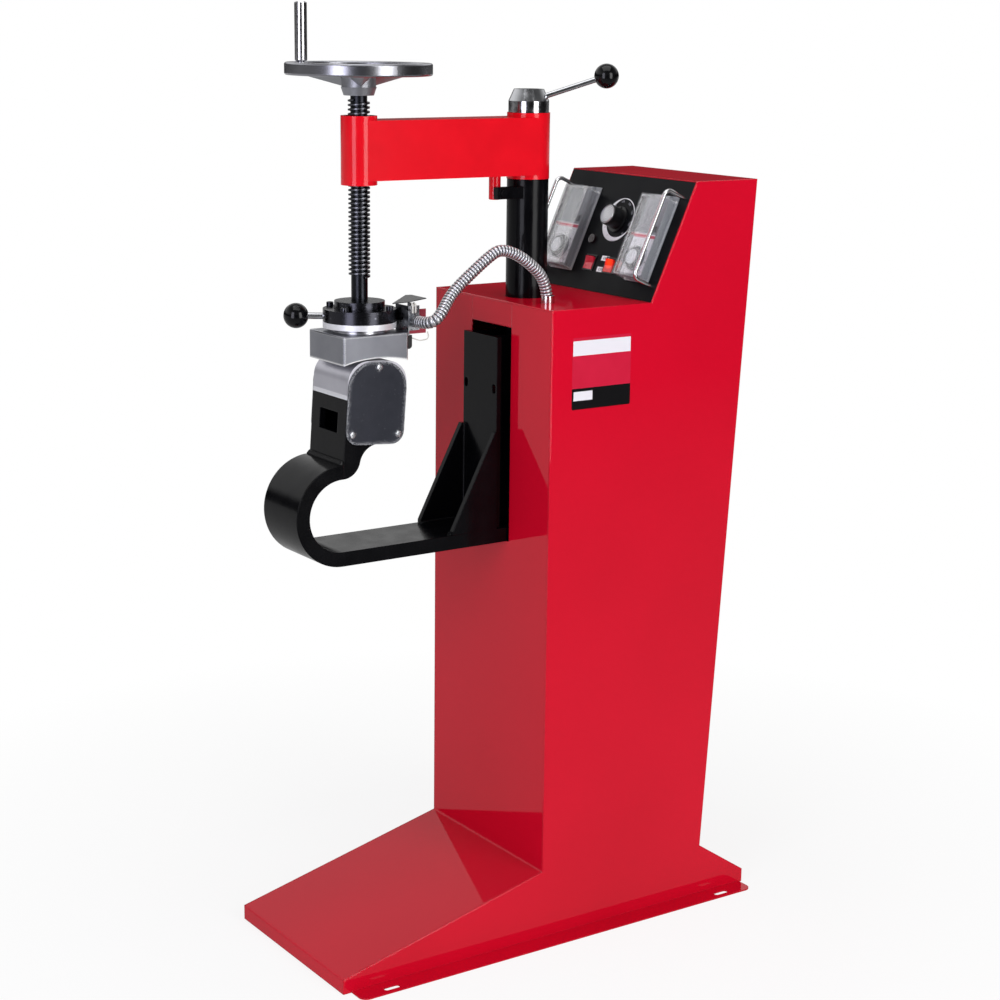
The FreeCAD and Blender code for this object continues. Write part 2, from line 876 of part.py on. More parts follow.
def lower_post():
    """Hollow leaning post whose heel rises in an S from the end of the curl to its floor."""
    half = post_width / 2
    toe_middle = (post_foot_y, curl_top - bar_thickness + post_toe_radius)
    heel_top = curl_top + post_floor_height
    heel_z = heel_top - post_heel_radius
    between = post_toe_radius + post_heel_radius
    rise = toe_middle[1] - heel_z
    heel_y = post_foot_y + math.sqrt(between ** 2 - rise ** 2)
    split = post_toe_radius / between
    touch_y = toe_middle[0] + (heel_y - toe_middle[0]) * split
    touch_z = toe_middle[1] + (heel_z - toe_middle[1]) * split
    turn = math.atan2(touch_z - toe_middle[1], touch_y - toe_middle[0])
    toe_angle = (turn - math.pi / 2) / 2
    heel_turn = math.atan2(touch_z - heel_z, touch_y - heel_y)
    heel_angle = (heel_turn + math.pi / 2) / 2

    def at(y, z):
        return Vector(-half, y, z)

    toe_start = at(post_foot_y, curl_top - bar_thickness)
    toe_way = at(toe_middle[0] + post_toe_radius * math.cos(toe_angle),
                 toe_middle[1] + post_toe_radius * math.sin(toe_angle))
    heel_way = at(heel_y + post_heel_radius * math.cos(heel_angle),
                  heel_z + post_heel_radius * math.sin(heel_angle))
    heel_end = at(heel_y, heel_top)
    rear_foot = at(leaned_line(post_back_y, heel_top), heel_top)
    top_back = leaned(Part.Vertex(at(post_back_y, post_top))).Point
    top_front = leaned(Part.Vertex(at(post_front_y, post_top))).Point
    front_foot = at(post_foot_y, curl_top)
    edges = [
        Part.LineSegment(top_front, front_foot).toShape(),
        Part.LineSegment(front_foot, toe_start).toShape(),
        Part.Arc(toe_start, toe_way, at(touch_y, touch_z)).toShape(),
        Part.Arc(at(touch_y, touch_z), heel_way, heel_end).toShape(),
        Part.LineSegment(heel_end, rear_foot).toShape(),
        Part.LineSegment(rear_foot, top_back).toShape(),
        Part.LineSegment(top_back, top_front).toShape(),
    ]
    post = Part.Face(Part.Wire(edges)).extrude(Vector(post_width, 0, 0))
    post = post.makeFillet(post_rear_radius, edges_along_x(post, [(rear_foot.y, rear_foot.z)]))
    cavity_low = heel_top + post_wall
    cavity = block(-half + post_wall, half - post_wall, post_front_y + post_wall, post_back_y - post_wall,
                   cavity_low, post_top + past)
    window_top = post_top - window_drop
    window = block(-window_width / 2, window_width / 2, post_front_y - past, post_front_y + post_wall + past,
                   window_top - window_height, window_top)
    post = post.cut(leaned(cavity)).cut(leaned(window))
    for side in (-1, 1):
        for place in side_cover_screw_places(side)[1:]:
            post = post.cut(leaned(screw_hole(place, side)))
    return post


def screw_hole(place, side):
    depth = case_screw_length + past
    return rod(case_screw_radius + running_gap, place, place - Vector(side * depth, 0, 0))


def crowned_block(half_length, base, top, x0, x1, top_radius, bottom_radius):
    """A block whose top is an arc along Y, centred on the lower tool's middle."""
    middle = top - platen_crown_radius
    drop = middle + math.sqrt(platen_crown_radius ** 2 - half_length ** 2)
    front = post_middle_y - half_length
    back = post_middle_y + half_length
    corners = [
        Vector(x0, front, drop),
        Vector(x0, front, base),
        Vector(x0, back, base),
        Vector(x0, back, drop),
    ]
    edges = [Part.LineSegment(corners[i], corners[i + 1]).toShape() for i in range(3)]
    edges.append(Part.Arc(corners[3], Vector(x0, post_middle_y, top), corners[0]).toShape())
    solid = Part.Face(Part.Wire(edges)).extrude(Vector(x1 - x0, 0, 0))
    solid = solid.makeFillet(top_radius, edges_along_x(solid, [(front, drop), (back, drop)]))
    if bottom_radius > 0:
        solid = solid.makeFillet(bottom_radius, edges_along_x(solid, [(front, base), (back, base)]))
    return solid


def lower_platen():
    half = post_width / 2
    platen = crowned_block(post_depth / 2, platen_base, crown_top, -half, half, platen_corner_radius, 0.0)
    for side in (-1, 1):
        platen = platen.cut(screw_hole(side_cover_screw_places(side)[0], side))
    return leaned(platen)


def lower_heater():
    half = post_width / 2
    return leaned(block(-half, half, post_front_y, post_back_y, post_top, platen_base))


def side_cover(side):
    near = side * post_width / 2
    far = side * (post_width / 2 + cover_thickness)
    plate = crowned_block(post_depth / 2 - cover_side_inset, cover_base, cover_top, min(near, far),
                          max(near, far), cover_top_radius, cover_bottom_radius)
    for place in side_cover_screw_places(side):
        plate = plate.cut(screw_hole(place, side))
    return leaned(plate)



# Upper platen and thrust head

def upper_platen():
    half = upper_width / 2
    solid = block(-half, half, upper_front_y, upper_back_y, arch_top - upper_height / 2, upper_top)
    uprights = [edge for edge in solid.Edges if abs(edge.Vertexes[0].Z - edge.Vertexes[1].Z) > 1.0]
    top_edges = [edge for edge in solid.Edges if all(vertex.Z > upper_top - 1e-6 for vertex in edge.Vertexes)]
    solid = solid.makeFillet(upper_edge_radius, uprights + top_edges)
    arch = Part.makeCylinder(upper_arch_radius, upper_width + 2 * past,
                             Vector(-half - past, -arm_length, arch_top - upper_arch_radius), Vector(1, 0, 0))
    solid = solid.cut(arch)
    solid = solid.fuse(disc(pivot_boss_radius, upper_top, swivel_base, 0.0, -arm_length))
    place = heater_rod_place()
    bore_end = place - Vector(0, heater_rod_depth + past, 0)
    return solid.cut(rod(heater_rod_radius + running_gap, bore_end, place))


def heater_rod_place():
    return Vector(heater_rod_x, upper_back_y, upper_top - heater_rod_drop)


def upper_heater():
    """A heating rod in its bore, with a moulded boot against the platen's rear face."""
    place = heater_rod_place()
    boot_front = upper_back_y + seat_gap
    boot_back = upper_back_y + heater_boot_depth
    half = heater_boot_width / 2
    low = place.z - heater_boot_height / 2
    boot = block(place.x - half, place.x + half, boot_front, boot_back, low, low + heater_boot_height)
    boot = boot.makeFillet(heater_boot_radius, edges_along_x(boot, [(boot_back, low)]))
    rod_end = place - Vector(0, heater_rod_depth, 0)
    return boot.fuse(rod(heater_rod_radius, rod_end, Vector(place.x, boot_front, place.z)))


def swivel_plate():
    plate = disc(clamp_ring_radius, swivel_base, ring_base, 0.0, -arm_length)
    for place in ring_screw_places():
        plate = plate.cut(disc(ring_screw_radius + running_gap, swivel_base - past, ring_base + past,
                               place.x, place.y))
    return plate


def ring_screw_places():
    places = []
    for i in range(ring_screw_count):
        angle = math.radians(ring_screw_start + i * 360.0 / ring_screw_count)
        out = Vector(math.cos(angle), math.sin(angle), 0) * ring_screw_circle
        places.append(Vector(0, -arm_length, ring_top) + out)
    return places


def ring_screws():
    length = clamp_ring_height + swivel_plate_thickness
    screws = []
    for place in ring_screw_places():
        screws.append(screw_solid(place, Vector(0, 0, 1), ring_screw_radius, ring_screw_head_radius,
                                  ring_screw_head_height, length))
    return Part.makeCompound(screws)


def clamp_ring():
    lip_base = ring_top - clamp_lip_height
    ring = disc(clamp_ring_radius, ring_base, ring_top, 0.0, -arm_length)
    ring = ring.cut(disc(housing_flange_radius + seat_gap, ring_base - past, lip_base, 0.0, -arm_length))
    ring = ring.cut(disc(housing_radius + seat_gap, ring_base - past, ring_top + past, 0.0, -arm_length))
    for place in ring_screw_places():
        ring = ring.cut(disc(ring_screw_radius + running_gap, ring_base - past, ring_top + past,
                             place.x, place.y))
    start, end = platen_lever_ends()
    return ring.cut(rod(platen_lever_radius + running_gap, start, end))


def platen_lever_ends():
    heading = math.radians(platen_lever_heading)
    out = Vector(math.cos(heading), math.sin(heading), 0)
    start = Vector(0, -arm_length, ring_base + platen_lever_rise) + out * platen_lever_root
    return start, start + out * platen_lever_length


def platen_lever():
    start, end = platen_lever_ends()
    return rod(platen_lever_radius, start, end)


def platen_ball():
    start, end = platen_lever_ends()
    return ball_knob(start, end, platen_lever_radius)


def thrust_housing():
    flange_top = ring_top - clamp_lip_height - seat_gap
    body = disc(housing_flange_radius, housing_base, flange_top, 0.0, -arm_length)
    body = body.fuse(disc(housing_radius, flange_top, housing_top, 0.0, -arm_length))
    pocket = disc(screw_foot_radius + seat_gap, housing_base - past, foot_top + seat_gap, 0.0, -arm_length)
    bore = disc(screw_root_radius + running_gap, foot_top, housing_top + past, 0.0, -arm_length)
    return body.cut(pocket).cut(bore)


# Hand screw and handwheel

def thread_ridge():
    """The helical ridge of the trapezoidal thread, its foot sunk in the core."""
    flank = math.tan(math.radians(thread_flank))
    crest = screw_crest / 2
    foot_radius = screw_root_radius - thread_foot_sunk
    foot = crest + (screw_radius - foot_radius) * flank
    low = thread_base + thread_runout
    helix = Part.makeHelix(screw_pitch, thread_top - thread_runout - low, foot_radius)
    helix.translate(Vector(0, 0, low))
    corners = [
        Vector(foot_radius, 0, low - foot),
        Vector(screw_radius, 0, low - crest),
        Vector(screw_radius, 0, low + crest),
        Vector(foot_radius, 0, low + foot),
    ]
    profile = Part.makePolygon(corners + [corners[0]])
    return Part.Wire(helix).makePipeShell([profile], True, True)


def lead_screw():
    core = disc(screw_root_radius, foot_top, thread_top + spigot_length)
    core = core.fuse(disc(screw_foot_radius, foot_base, foot_top)).removeSplitter()
    screw = core.fuse(thread_ridge())
    screw.translate(Vector(0, -arm_length, 0))
    return screw


def handwheel():
    rim = disc(wheel_radius, rim_base, rim_top)
    rim = rim.cut(disc(wheel_radius - rim_depth, rim_base - past, rim_top + past))
    rim = rim.makeFillet(rim_edge_radius, [edge for edge in rim.Edges if len(edge.Vertexes) == 1])
    cone = Part.makeCone(hub_bottom_radius, hub_radius, hub_cone_height, Vector(0, 0, thread_top))
    hub = cone.fuse(disc(hub_neck_radius, thread_top + hub_cone_height, thread_top + hub_height))
    wheel = rim.fuse(hub)
    for i in range(spoke_count):
        wheel = wheel.fuse(wheel_spoke(spoke_heading + i * 360.0 / spoke_count))
    wheel = wheel.cut(disc(screw_root_radius + running_gap, thread_top - past, rim_top + past))
    wheel = wheel.cut(crank_hole())
    wheel.translate(Vector(0, -arm_length, 0))
    return wheel


def wheel_spoke(heading):
    """A spoke with a keel underneath, tapering from the hub out to the rim."""
    hub_end = spoke_section(hub_bottom_radius, spoke_hub_width, thread_top + hub_height - spoke_hub_drop,
                            spoke_hub_side, thread_top + hub_cone_height)
    rim_end = spoke_section(wheel_radius - rim_depth / 2, spoke_rim_width, rim_top - rim_edge_radius,
                            spoke_rim_side, rim_base + spoke_keel_rise)
    spoke = Part.makeLoft([hub_end, rim_end], True, True)
    spoke.rotate(Vector(0, 0, 0), Vector(0, 0, 1), heading)
    return spoke


def spoke_section(reach, width, top, side_height, keel):
    half = width / 2
    corners = [
        Vector(reach, -half, top),
        Vector(reach, half, top),
        Vector(reach, half, top - side_height),
        Vector(reach, 0, keel),
        Vector(reach, -half, top - side_height),
    ]
    return Part.makePolygon(corners + [corners[0]])


def crank_place():
    heading = math.radians(spoke_heading)
    return Vector(crank_circle * math.cos(heading), crank_circle * math.sin(heading), 0)


def crank_hole():
    place = crank_place()
    return disc(crank_pin_radius + running_gap, rim_base - past, rim_top + past, place.x, place.y)


def crank_pin():
    place = crank_place()
    top = rim_top + seat_gap + crank_length - crank_cap
    pin = disc(crank_pin_radius, rim_base + crank_pin_inset, top, place.x, place.y)
    pin.translate(Vector(0, -arm_length, 0))
    return pin


def crank_sleeve():
    place = crank_place()
    low = rim_top + seat_gap
    high = low + crank_length
    sleeve = disc(crank_radius, low, high, place.x, place.y)
    rims = [edge for edge in sleeve.Edges if len(edge.Vertexes) == 1]
    sleeve = sleeve.makeChamfer(crank_chamfer, rims)
    pin_end = high - crank_cap + seat_gap
    sleeve = sleeve.cut(disc(crank_pin_radius + running_gap, low - past, pin_end, place.x, place.y))
    sleeve.translate(Vector(0, -arm_length, 0))
    return sleeve


# Fittings on the upper platen's rear corner

wall_back_y = upper_back_y + terminal_wall_depth
connector_y = upper_back_y + connector_inset
connector_z = upper_top + connector_height
connector_end_x = terminal_right_x + connector_length
terminal_top = upper_top + terminal_height


def terminal_bracket():
    """An angle of thin sheet: one leg on the platen's rear face, one standing out from it."""
    leg = block(terminal_left_x, terminal_right_x, upper_back_y, upper_back_y + bracket_sheet,
                upper_top - terminal_skirt, terminal_top)
    wall = block(terminal_right_x - bracket_sheet, terminal_right_x, upper_back_y, wall_back_y,
                 upper_top + terminal_wall_rise, terminal_top)
    bracket = leg.fuse(wall).removeSplitter()
    return bracket.cut(connector_hole(bracket_sheet))


def connector_hole(thickness):
    """The connector's hole through a sheet whose inner face lies this far inside the bracket."""
    end = Vector(terminal_right_x + past, connector_y, connector_z)
    return rod(connector_neck_radius + running_gap, end - Vector(thickness + 2 * past, 0, 0), end)


def conduit_connector():
    face = Vector(terminal_right_x, connector_y, connector_z)
    end = Vector(connector_end_x, connector_y, connector_z)
    neck_end = face - Vector(bracket_sheet + insulator_thickness + connector_neck_reach, 0, 0)
    body = rod(connector_radius, face, end).fuse(rod(connector_neck_radius, neck_end, face))
    return body.cut(rod(conduit_bore, neck_end - Vector(past, 0, 0), end + Vector(past, 0, 0)))


def insulator_plate():
    """A sheet that lies against the inner face of the bracket's wall and stands out behind it."""
    right = terminal_right_x - bracket_sheet
    low_z = upper_top - insulator_drop
    low_y = upper_back_y + bracket_sheet
    plate = block(right - insulator_thickness, right, low_y, low_y + insulator_depth,
                  low_z, low_z + insulator_height)
    return plate.cut(connector_hole(bracket_sheet + insulator_thickness))


def heat_shield():
    """A thin plate on a short post over the bracket's corner, tilted up at the back, its front
    cut away along the clamp ring."""
    hinge_line = terminal_top + shield_lift
    back = upper_back_y + shield_reach
    points = [
        Vector(terminal_right_x, upper_back_y, hinge_line),
        Vector(terminal_right_x, back, hinge_line),
        Vector(shield_left_x + shield_corner, back, hinge_line),
        Vector(shield_left_x, back - shield_corner, hinge_line),
        Vector(terminal_right_x - shield_tip_inset, upper_back_y - shield_tip_reach, hinge_line),
    ]
    plate = polygon_face(points).extrude(Vector(0, 0, shield_thickness))
    plate.rotate(Vector(0, upper_back_y, hinge_line), Vector(1, 0, 0), shield_tilt)
    post_x = terminal_right_x - shield_post_radius
    post_y = upper_back_y + shield_post_radius
    post = disc(shield_post_radius, terminal_top, hinge_line + shield_thickness / 2, post_x, post_y)
    return plate.fuse(post)


def lead_wires():
    """Two leads looped over the bracket's top edge and a thin one from the heater to the insulator."""
    inner_x = terminal_right_x - bracket_sheet - insulator_thickness - seat_gap - wire_radius
    outer_x = terminal_right_x + seat_gap + wire_radius
    loop_radius = (outer_x - inner_x) / 2
    crest_z = terminal_top + wire_crest_rise
    turn_z = crest_z - loop_radius
    wires = []
    for shift in (0.0, wire_spacing):
        y = connector_y - wire_inset + shift
        inner = Vector(inner_x, y, turn_z)
        outer = Vector(outer_x, y, turn_z)
        edges = [
            Part.LineSegment(Vector(inner_x, y, terminal_top - wire_drop), inner).toShape(),
            Part.Arc(inner, Vector((inner_x + outer_x) / 2, y, crest_z), outer).toShape(),
            Part.LineSegment(outer, Vector(outer_x, y, terminal_top - wire_outer_drop)).toShape(),
        ]
        wires.append(swept(wire_radius, Part.Wire(edges), edges[0].Vertexes[0].Point, Vector(0, 0, 1)))
    wires.append(thin_lead())
    return Part.makeCompound(wires)


def thin_lead():
    """A thin wire that leaves the heater's boot, sags and turns up behind the insulator."""
    boot_back = Vector(heater_rod_x, upper_back_y + heater_boot_depth, upper_top - heater_rod_drop)
    start = boot_back + Vector(4.0, seat_gap, 5.5)
    sag = boot_back + Vector(5.5, 13.0, 0.5)
    turn = boot_back + Vector(7.0, 28.5, 2.0)
    end = boot_back + Vector(7.5, 24.5, 12.5)
    edges = rounded_route(start, [(sag, 12.0), (turn, 5.0)], end)
    return swept(thin_wire_radius, Part.Wire(edges), start, sag - start)


# Control panel

def timer_x(side):
    return panel_centre_x + side * timer_spacing / 2


def switch_x(side):
    return panel_centre_x + switch_offset_x + side * switch_spacing / 2


def guard_x(side):
    return panel_centre_x + side * guard_offset_x


def control_panel():
    top = panel_length - panel_top_margin
    plate = block(-inner_half_width, inner_half_width, seat_gap, top, -sheet, 0.0)
    plate = plate.cut(disc(control_hole_radius + running_gap, -sheet - past, past, panel_centre_x, knob_up))
    plate = plate.cut(disc(lamp_neck_radius + running_gap, -sheet - past, past,
                           panel_centre_x + lamp_offset_x, lamp_up))
    for side in (-1, 1):
        plate = plate.cut(switch_hole(switch_x(side)))
    return on_panel(plate)


def switch_hole(x):
    half_width_of_hole = switch_frame_width / 2 - switch_frame_lap
    half_height_of_hole = switch_frame_height / 2 - switch_frame_lap
    return block(x - half_width_of_hole, x + half_width_of_hole, switch_up - half_height_of_hole,
                 switch_up + half_height_of_hole, -sheet - past, past)


def switch_frame(side):
    x = switch_x(side)
    rim = block(x - switch_frame_width / 2, x + switch_frame_width / 2, switch_up - switch_frame_height / 2,
                switch_up + switch_frame_height / 2, 0.0, switch_frame_rise)
    inset = switch_frame_lap + seat_gap
    body = block(x - switch_frame_width / 2 + inset, x + switch_frame_width / 2 - inset,
                 switch_up - switch_frame_height / 2 + inset, switch_up + switch_frame_height / 2 - inset,
                 -switch_depth, 0.0)
    frame = rim.fuse(body)
    pocket_depth = rocker_pivot_depth + rocker_crown
    pocket = block(x - rocker_width / 2 - seat_gap, x + rocker_width / 2 + seat_gap,
                   switch_up - rocker_height / 2 - seat_gap, switch_up + rocker_height / 2 + seat_gap,
                   -pocket_depth, switch_frame_rise + past)
    return on_panel(frame.cut(pocket).cut(rocker_pin(x, running_gap)))


def rocker(side):
    """A rocker with a shallow V on top, tipped about a pivot below the panel."""
    x = switch_x(side)
    half = rocker_height / 2 - rocker_end_room
    crown = math.tan(math.radians(rocker_tilt)) * half
    face_rise = rocker_crown - rocker_pivot_depth
    outline = [
        (-half, face_rise + crown),
        (0.0, face_rise),
        (half, face_rise + crown),
        (rocker_foot_half, -rocker_pivot_depth - rocker_foot_depth),
        (-rocker_foot_half, -rocker_pivot_depth - rocker_foot_depth),
    ]
    width = rocker_width - 2 * seat_gap
    face = polygon_face([Vector(x - width / 2, switch_up + up, out) for up, out in outline])
    body = face.extrude(Vector(width, 0, 0))
    body.rotate(Vector(x, switch_up, -rocker_pivot_depth), Vector(1, 0, 0), rocker_tilt)
    return on_panel(body.fuse(rocker_pin(x, 0.0)))


def rocker_pin(x, gap):
    """The pivot that stands out of both sides of a rocker."""
    reach = rocker_width / 2 + rocker_pin_reach + gap
    return rod(rocker_pin_radius + gap, Vector(x - reach, switch_up, -rocker_pivot_depth),
               Vector(x + reach, switch_up, -rocker_pivot_depth))


def temperature_knob():
    skirt_top = seat_gap + knob_skirt_height
    shaft = disc(control_hole_radius, -sheet - knob_shaft_depth, seat_gap, panel_centre_x, knob_up)
    skirt = disc(knob_skirt_radius, seat_gap, skirt_top, panel_centre_x, knob_up)
    body = disc(knob_radius, skirt_top, knob_height, panel_centre_x, knob_up)
    rim = [edge for edge in body.Edges if abs(edge.CenterOfMass.z - knob_height) < 1e-6]
    body = body.makeFillet(knob_edge_radius, rim)
    pointer = knob_pointer(panel_centre_x, knob_up, knob_radius, knob_skirt_radius, skirt_top)
    return on_panel(shaft.fuse([skirt, body, pointer]))


def knob_pointer(x, up, body_radius, skirt_radius, skirt_top):
    """The raised mark on a knob's skirt."""
    half = pointer_width / 2
    return block(x - half, x + half, up + body_radius - pointer_overlap, up + skirt_radius - pointer_edge_gap,
                 skirt_top, skirt_top + pointer_rise)


def pilot_lamp():
    x = panel_centre_x + lamp_offset_x
    bezel = disc(lamp_radius, 0.0, lamp_height, x, lamp_up)
    neck = disc(lamp_neck_radius, -sheet - lamp_depth, 0.0, x, lamp_up)
    return on_panel(bezel.fuse(neck))


def timer_body(side):
    x = timer_x(side)
    base_half = timer_width / 2
    low = timer_up - timer_height / 2
    high = timer_up + timer_height / 2
    base = block(x - base_half, x + base_half, low, high + timer_base_overhang, 0.0, timer_base_rise)
    room = cover_wall + timer_side_room
    body = block(x - base_half + room, x + base_half - room, low + room, high - room,
                 timer_base_rise, timer_body_rise)
    shape = base.fuse(body)
    pin_up = high + hinge_up
    ear_inner = hinge_lug_width / 2 + seat_gap
    for hand in (-1, 1):
        near = x + hand * ear_inner
        far = near + hand * hinge_ear_width
        ear = rod(hinge_knuckle_radius, Vector(near, pin_up, hinge_rise), Vector(far, pin_up, hinge_rise))
        foot = block(min(near, far), max(near, far), pin_up - hinge_knuckle_radius,
                     pin_up + hinge_knuckle_radius, timer_base_rise / 2, hinge_rise)
        shape = shape.fuse([ear, foot])
    pin_half = ear_inner + hinge_ear_width / 2
    shape = shape.fuse(rod(hinge_pin_radius, Vector(x - pin_half, pin_up, hinge_rise),
                           Vector(x + pin_half, pin_up, hinge_rise)))
    hole_floor = timer_body_rise - timer_shaft_depth - past
    shape = shape.cut(disc(control_hole_radius + running_gap, hole_floor, timer_body_rise + past,
                           x, timer_up - timer_knob_drop))
    return on_panel(shape.removeSplitter())


def timer_knob(side):
    x = timer_x(side)
    up = timer_up - timer_knob_drop
    low = timer_body_rise + seat_gap
    skirt_top = low + timer_skirt_height
    shaft = disc(control_hole_radius, timer_body_rise - timer_shaft_depth, low, x, up)
    skirt = disc(timer_skirt_radius, low, skirt_top, x, up)
    body = disc(timer_knob_radius, skirt_top, low + timer_knob_height, x, up)
    pointer = knob_pointer(x, up, timer_knob_radius, timer_skirt_radius, skirt_top)
    return on_panel(shaft.fuse([skirt, body, pointer]))


def timer_cover(side):
    """A clear box open at its back, hung from a lug at its top edge."""
    x = timer_x(side)
    half = timer_width / 2
    low = timer_up - timer_height / 2
    high = timer_up + timer_height / 2
    base = timer_base_rise + seat_gap
    shell = block(x - half, x + half, low, high, base, cover_height)
    rounded = [edge for edge in shell.Edges if any(vertex.Z > base + past for vertex in edge.Vertexes)]
    shell = shell.makeFillet(cover_edge_radius, rounded)
    hollow = block(x - half + cover_wall, x + half - cover_wall, low + cover_wall, high - cover_wall,
                   base - past, cover_height - cover_wall)
    shell = shell.cut(hollow)
    pin_up = high + hinge_up
    lug_half = hinge_lug_width / 2
    knuckle = rod(hinge_knuckle_radius, Vector(x - lug_half, pin_up, hinge_rise),
                  Vector(x + lug_half, pin_up, hinge_rise))
    web_top = hinge_rise + hinge_knuckle_radius
    web = block(x - lug_half, x + lug_half, high - cover_wall / 2, pin_up, web_top - hinge_web, web_top)
    shell = shell.fuse([knuckle, web])
    pin_hole = rod(hinge_pin_radius + running_gap, Vector(x - lug_half - past, pin_up, hinge_rise),
                   Vector(x + lug_half + past, pin_up, hinge_rise))
    return on_panel(shell.cut(pin_hole))


def guard_handle(side):
    x = guard_x(side)
    low = guard_foot_up
    high = guard_foot_up + guard_span
    points = [
        Vector(x, low, 0),
        Vector(x, low, guard_height),
        Vector(x, high, guard_height),
        Vector(x, high, 0),
    ]
    return on_panel(bent_rod(guard_rod_radius, points, guard_bend_radius))


# Ribbed conduit from the shelf over to the upper platen, in three stretches:
# shelf to swing arm, swing arm to press head, press head to platen.
# Each corner of the route is a point and the radius of its bend.

ferrule_x = 75.0
ferrule_y = -15.0
ferrule_seat_z = shelf_height - ferrule_seat_depth
conduit_start = Vector(ferrule_x, ferrule_y, ferrule_seat_z)
conduit_end = Vector(connector_end_x, connector_y, connector_z)
first_bends = [
    (conduit_start + Vector(0.0, 0.0, 30.5), 28.0),
    (conduit_start + Vector(0.0, -41.0, 74.0), 40.0),
]
second_bends = [
    (conduit_start + Vector(0.0, -76.0, 90.2), 32.0),
    (conduit_start + Vector(0.0, -104.0, 79.0), 60.0),
]
third_bends = [
    (conduit_end + Vector(18.7, 42.0, 38.6), 110.0),
    (conduit_end + Vector(34.0, 14.0, 10.5), 17.5),
    (conduit_end + Vector(28.0, 0.0, 0.0), 17.0),
]
arm_share = 0.376         # of the run between the two bends where one stretch meets the next
head_share = 0.695


def on_run(bends, next_bends, share):
    """A point on the straight run from the last bend of one stretch to the first of the next."""
    last = bends[-1][0]
    return last + (next_bends[0][0] - last) * share


def bend(before, corner, after, radius):
    """Start, middle, end and centre of the arc that rounds a corner."""
    back = (before - corner).normalize()
    ahead = (after - corner).normalize()
    turn = math.pi - back.getAngle(ahead)
    reach = radius * math.tan(turn / 2)
    towards = (back + ahead).normalize()
    centre = corner + towards * (radius / math.cos(turn / 2))
    return corner + back * reach, centre - towards * radius, corner + ahead * reach, centre


def rounded_route(start, bends, end):
    """Straight runs and arcs, each as its edge, its start, its direction and its centre or None."""
    corners = [start] + [place for place, radius in bends] + [end]
    edges = []
    here = start
    for i, (corner, radius) in enumerate(bends):
        arc_start, middle, arc_end, centre = bend(corners[i], corner, corners[i + 2], radius)
        edges.append(Part.LineSegment(here, arc_start).toShape())
        edges.append(Part.Arc(arc_start, middle, arc_end).toShape())
        here = arc_end
    edges.append(Part.LineSegment(here, end).toShape())
    return edges


def place_on_route(edges, distance):
    """Point and direction at a distance along the route."""
    left = distance
    for edge in edges:
        if left <= edge.Length or edge is edges[-1]:
            parameter = edge.getParameterByLength(min(left, edge.Length))
            return edge.valueAt(parameter), edge.tangentAt(parameter)
        left -= edge.Length


def ring(radius, centre, across, along):
    """A circle square to the route whose seam stays on one side."""
    other = along.cross(across)
    frame = FreeCAD.Matrix(across.x, other.x, along.x, centre.x,
                           across.y, other.y, along.y, centre.y,
                           across.z, other.z, along.z, centre.z,
                           0, 0, 0, 1)
    circle = Part.makeCircle(radius)
    circle.Placement = FreeCAD.Placement(frame)
    return Part.Wire([circle])


def conduit_stretch(start, bends, end):
    """A ribbed hose: each rib is two circles at the crest between two at the root."""
    edges = rounded_route(start, bends, end)
    length = sum(edge.Length for edge in edges)
    count = round(length / conduit_rib_pitch)
    pitch = length / count
    crest_end = conduit_flank_width + conduit_crest_width
    root_start = crest_end + conduit_flank_width
    profile = [
        (0.0, conduit_root_radius),
        (conduit_flank_width / conduit_rib_pitch, conduit_radius),
        (crest_end / conduit_rib_pitch, conduit_radius),
        (root_start / conduit_rib_pitch, conduit_root_radius),
    ]
    rings = []
    across = Vector(1, 0, 0)
    for i in range(count):
        for share, radius in profile:
            place, along = place_on_route(edges, (i + share) * pitch)
            across = (across - along * across.dot(along)).normalize()
            rings.append(ring(radius, place, across, along))
    place, along = place_on_route(edges, length)
    rings.append(ring(conduit_root_radius, place, (across - along * across.dot(along)).normalize(), along))
    hose = Part.makeLoft(rings, True, True)
    radii = [round(radius, 1) for corner, radius in bends]
    print("conduit stretch length", round(length, 1), "ribs", count, "bend radii", radii)
    return hose.cut(swept(conduit_bore, Part.Wire(edges), start, edges[0].tangentAt(0)))


def arm_junction():
    return on_run(first_bends, second_bends, arm_share)


def head_junction():
    return on_run(second_bends, third_bends, head_share)


def conduit_first():
    return conduit_stretch(conduit_start, first_bends, arm_junction())


def conduit_second():
    return conduit_stretch(arm_junction(), second_bends, head_junction())


def conduit_third():
    return conduit_stretch(head_junction(), third_bends, conduit_end)


def shelf_ferrule():
    low = shelf_height - ferrule_depth
    high = shelf_height + ferrule_height
    body = disc(ferrule_radius, low, high, ferrule_x, ferrule_y)
    collar_top = shelf_height - sheet
    body = body.fuse(disc(ferrule_collar_radius, collar_top - ferrule_collar_height, collar_top,
                          ferrule_x, ferrule_y))
    body = body.cut(disc(ferrule_bore, ferrule_seat_z, high + past, ferrule_x, ferrule_y))
    return body.cut(disc(conduit_bore, low - past, high + past, ferrule_x, ferrule_y)).removeSplitter()


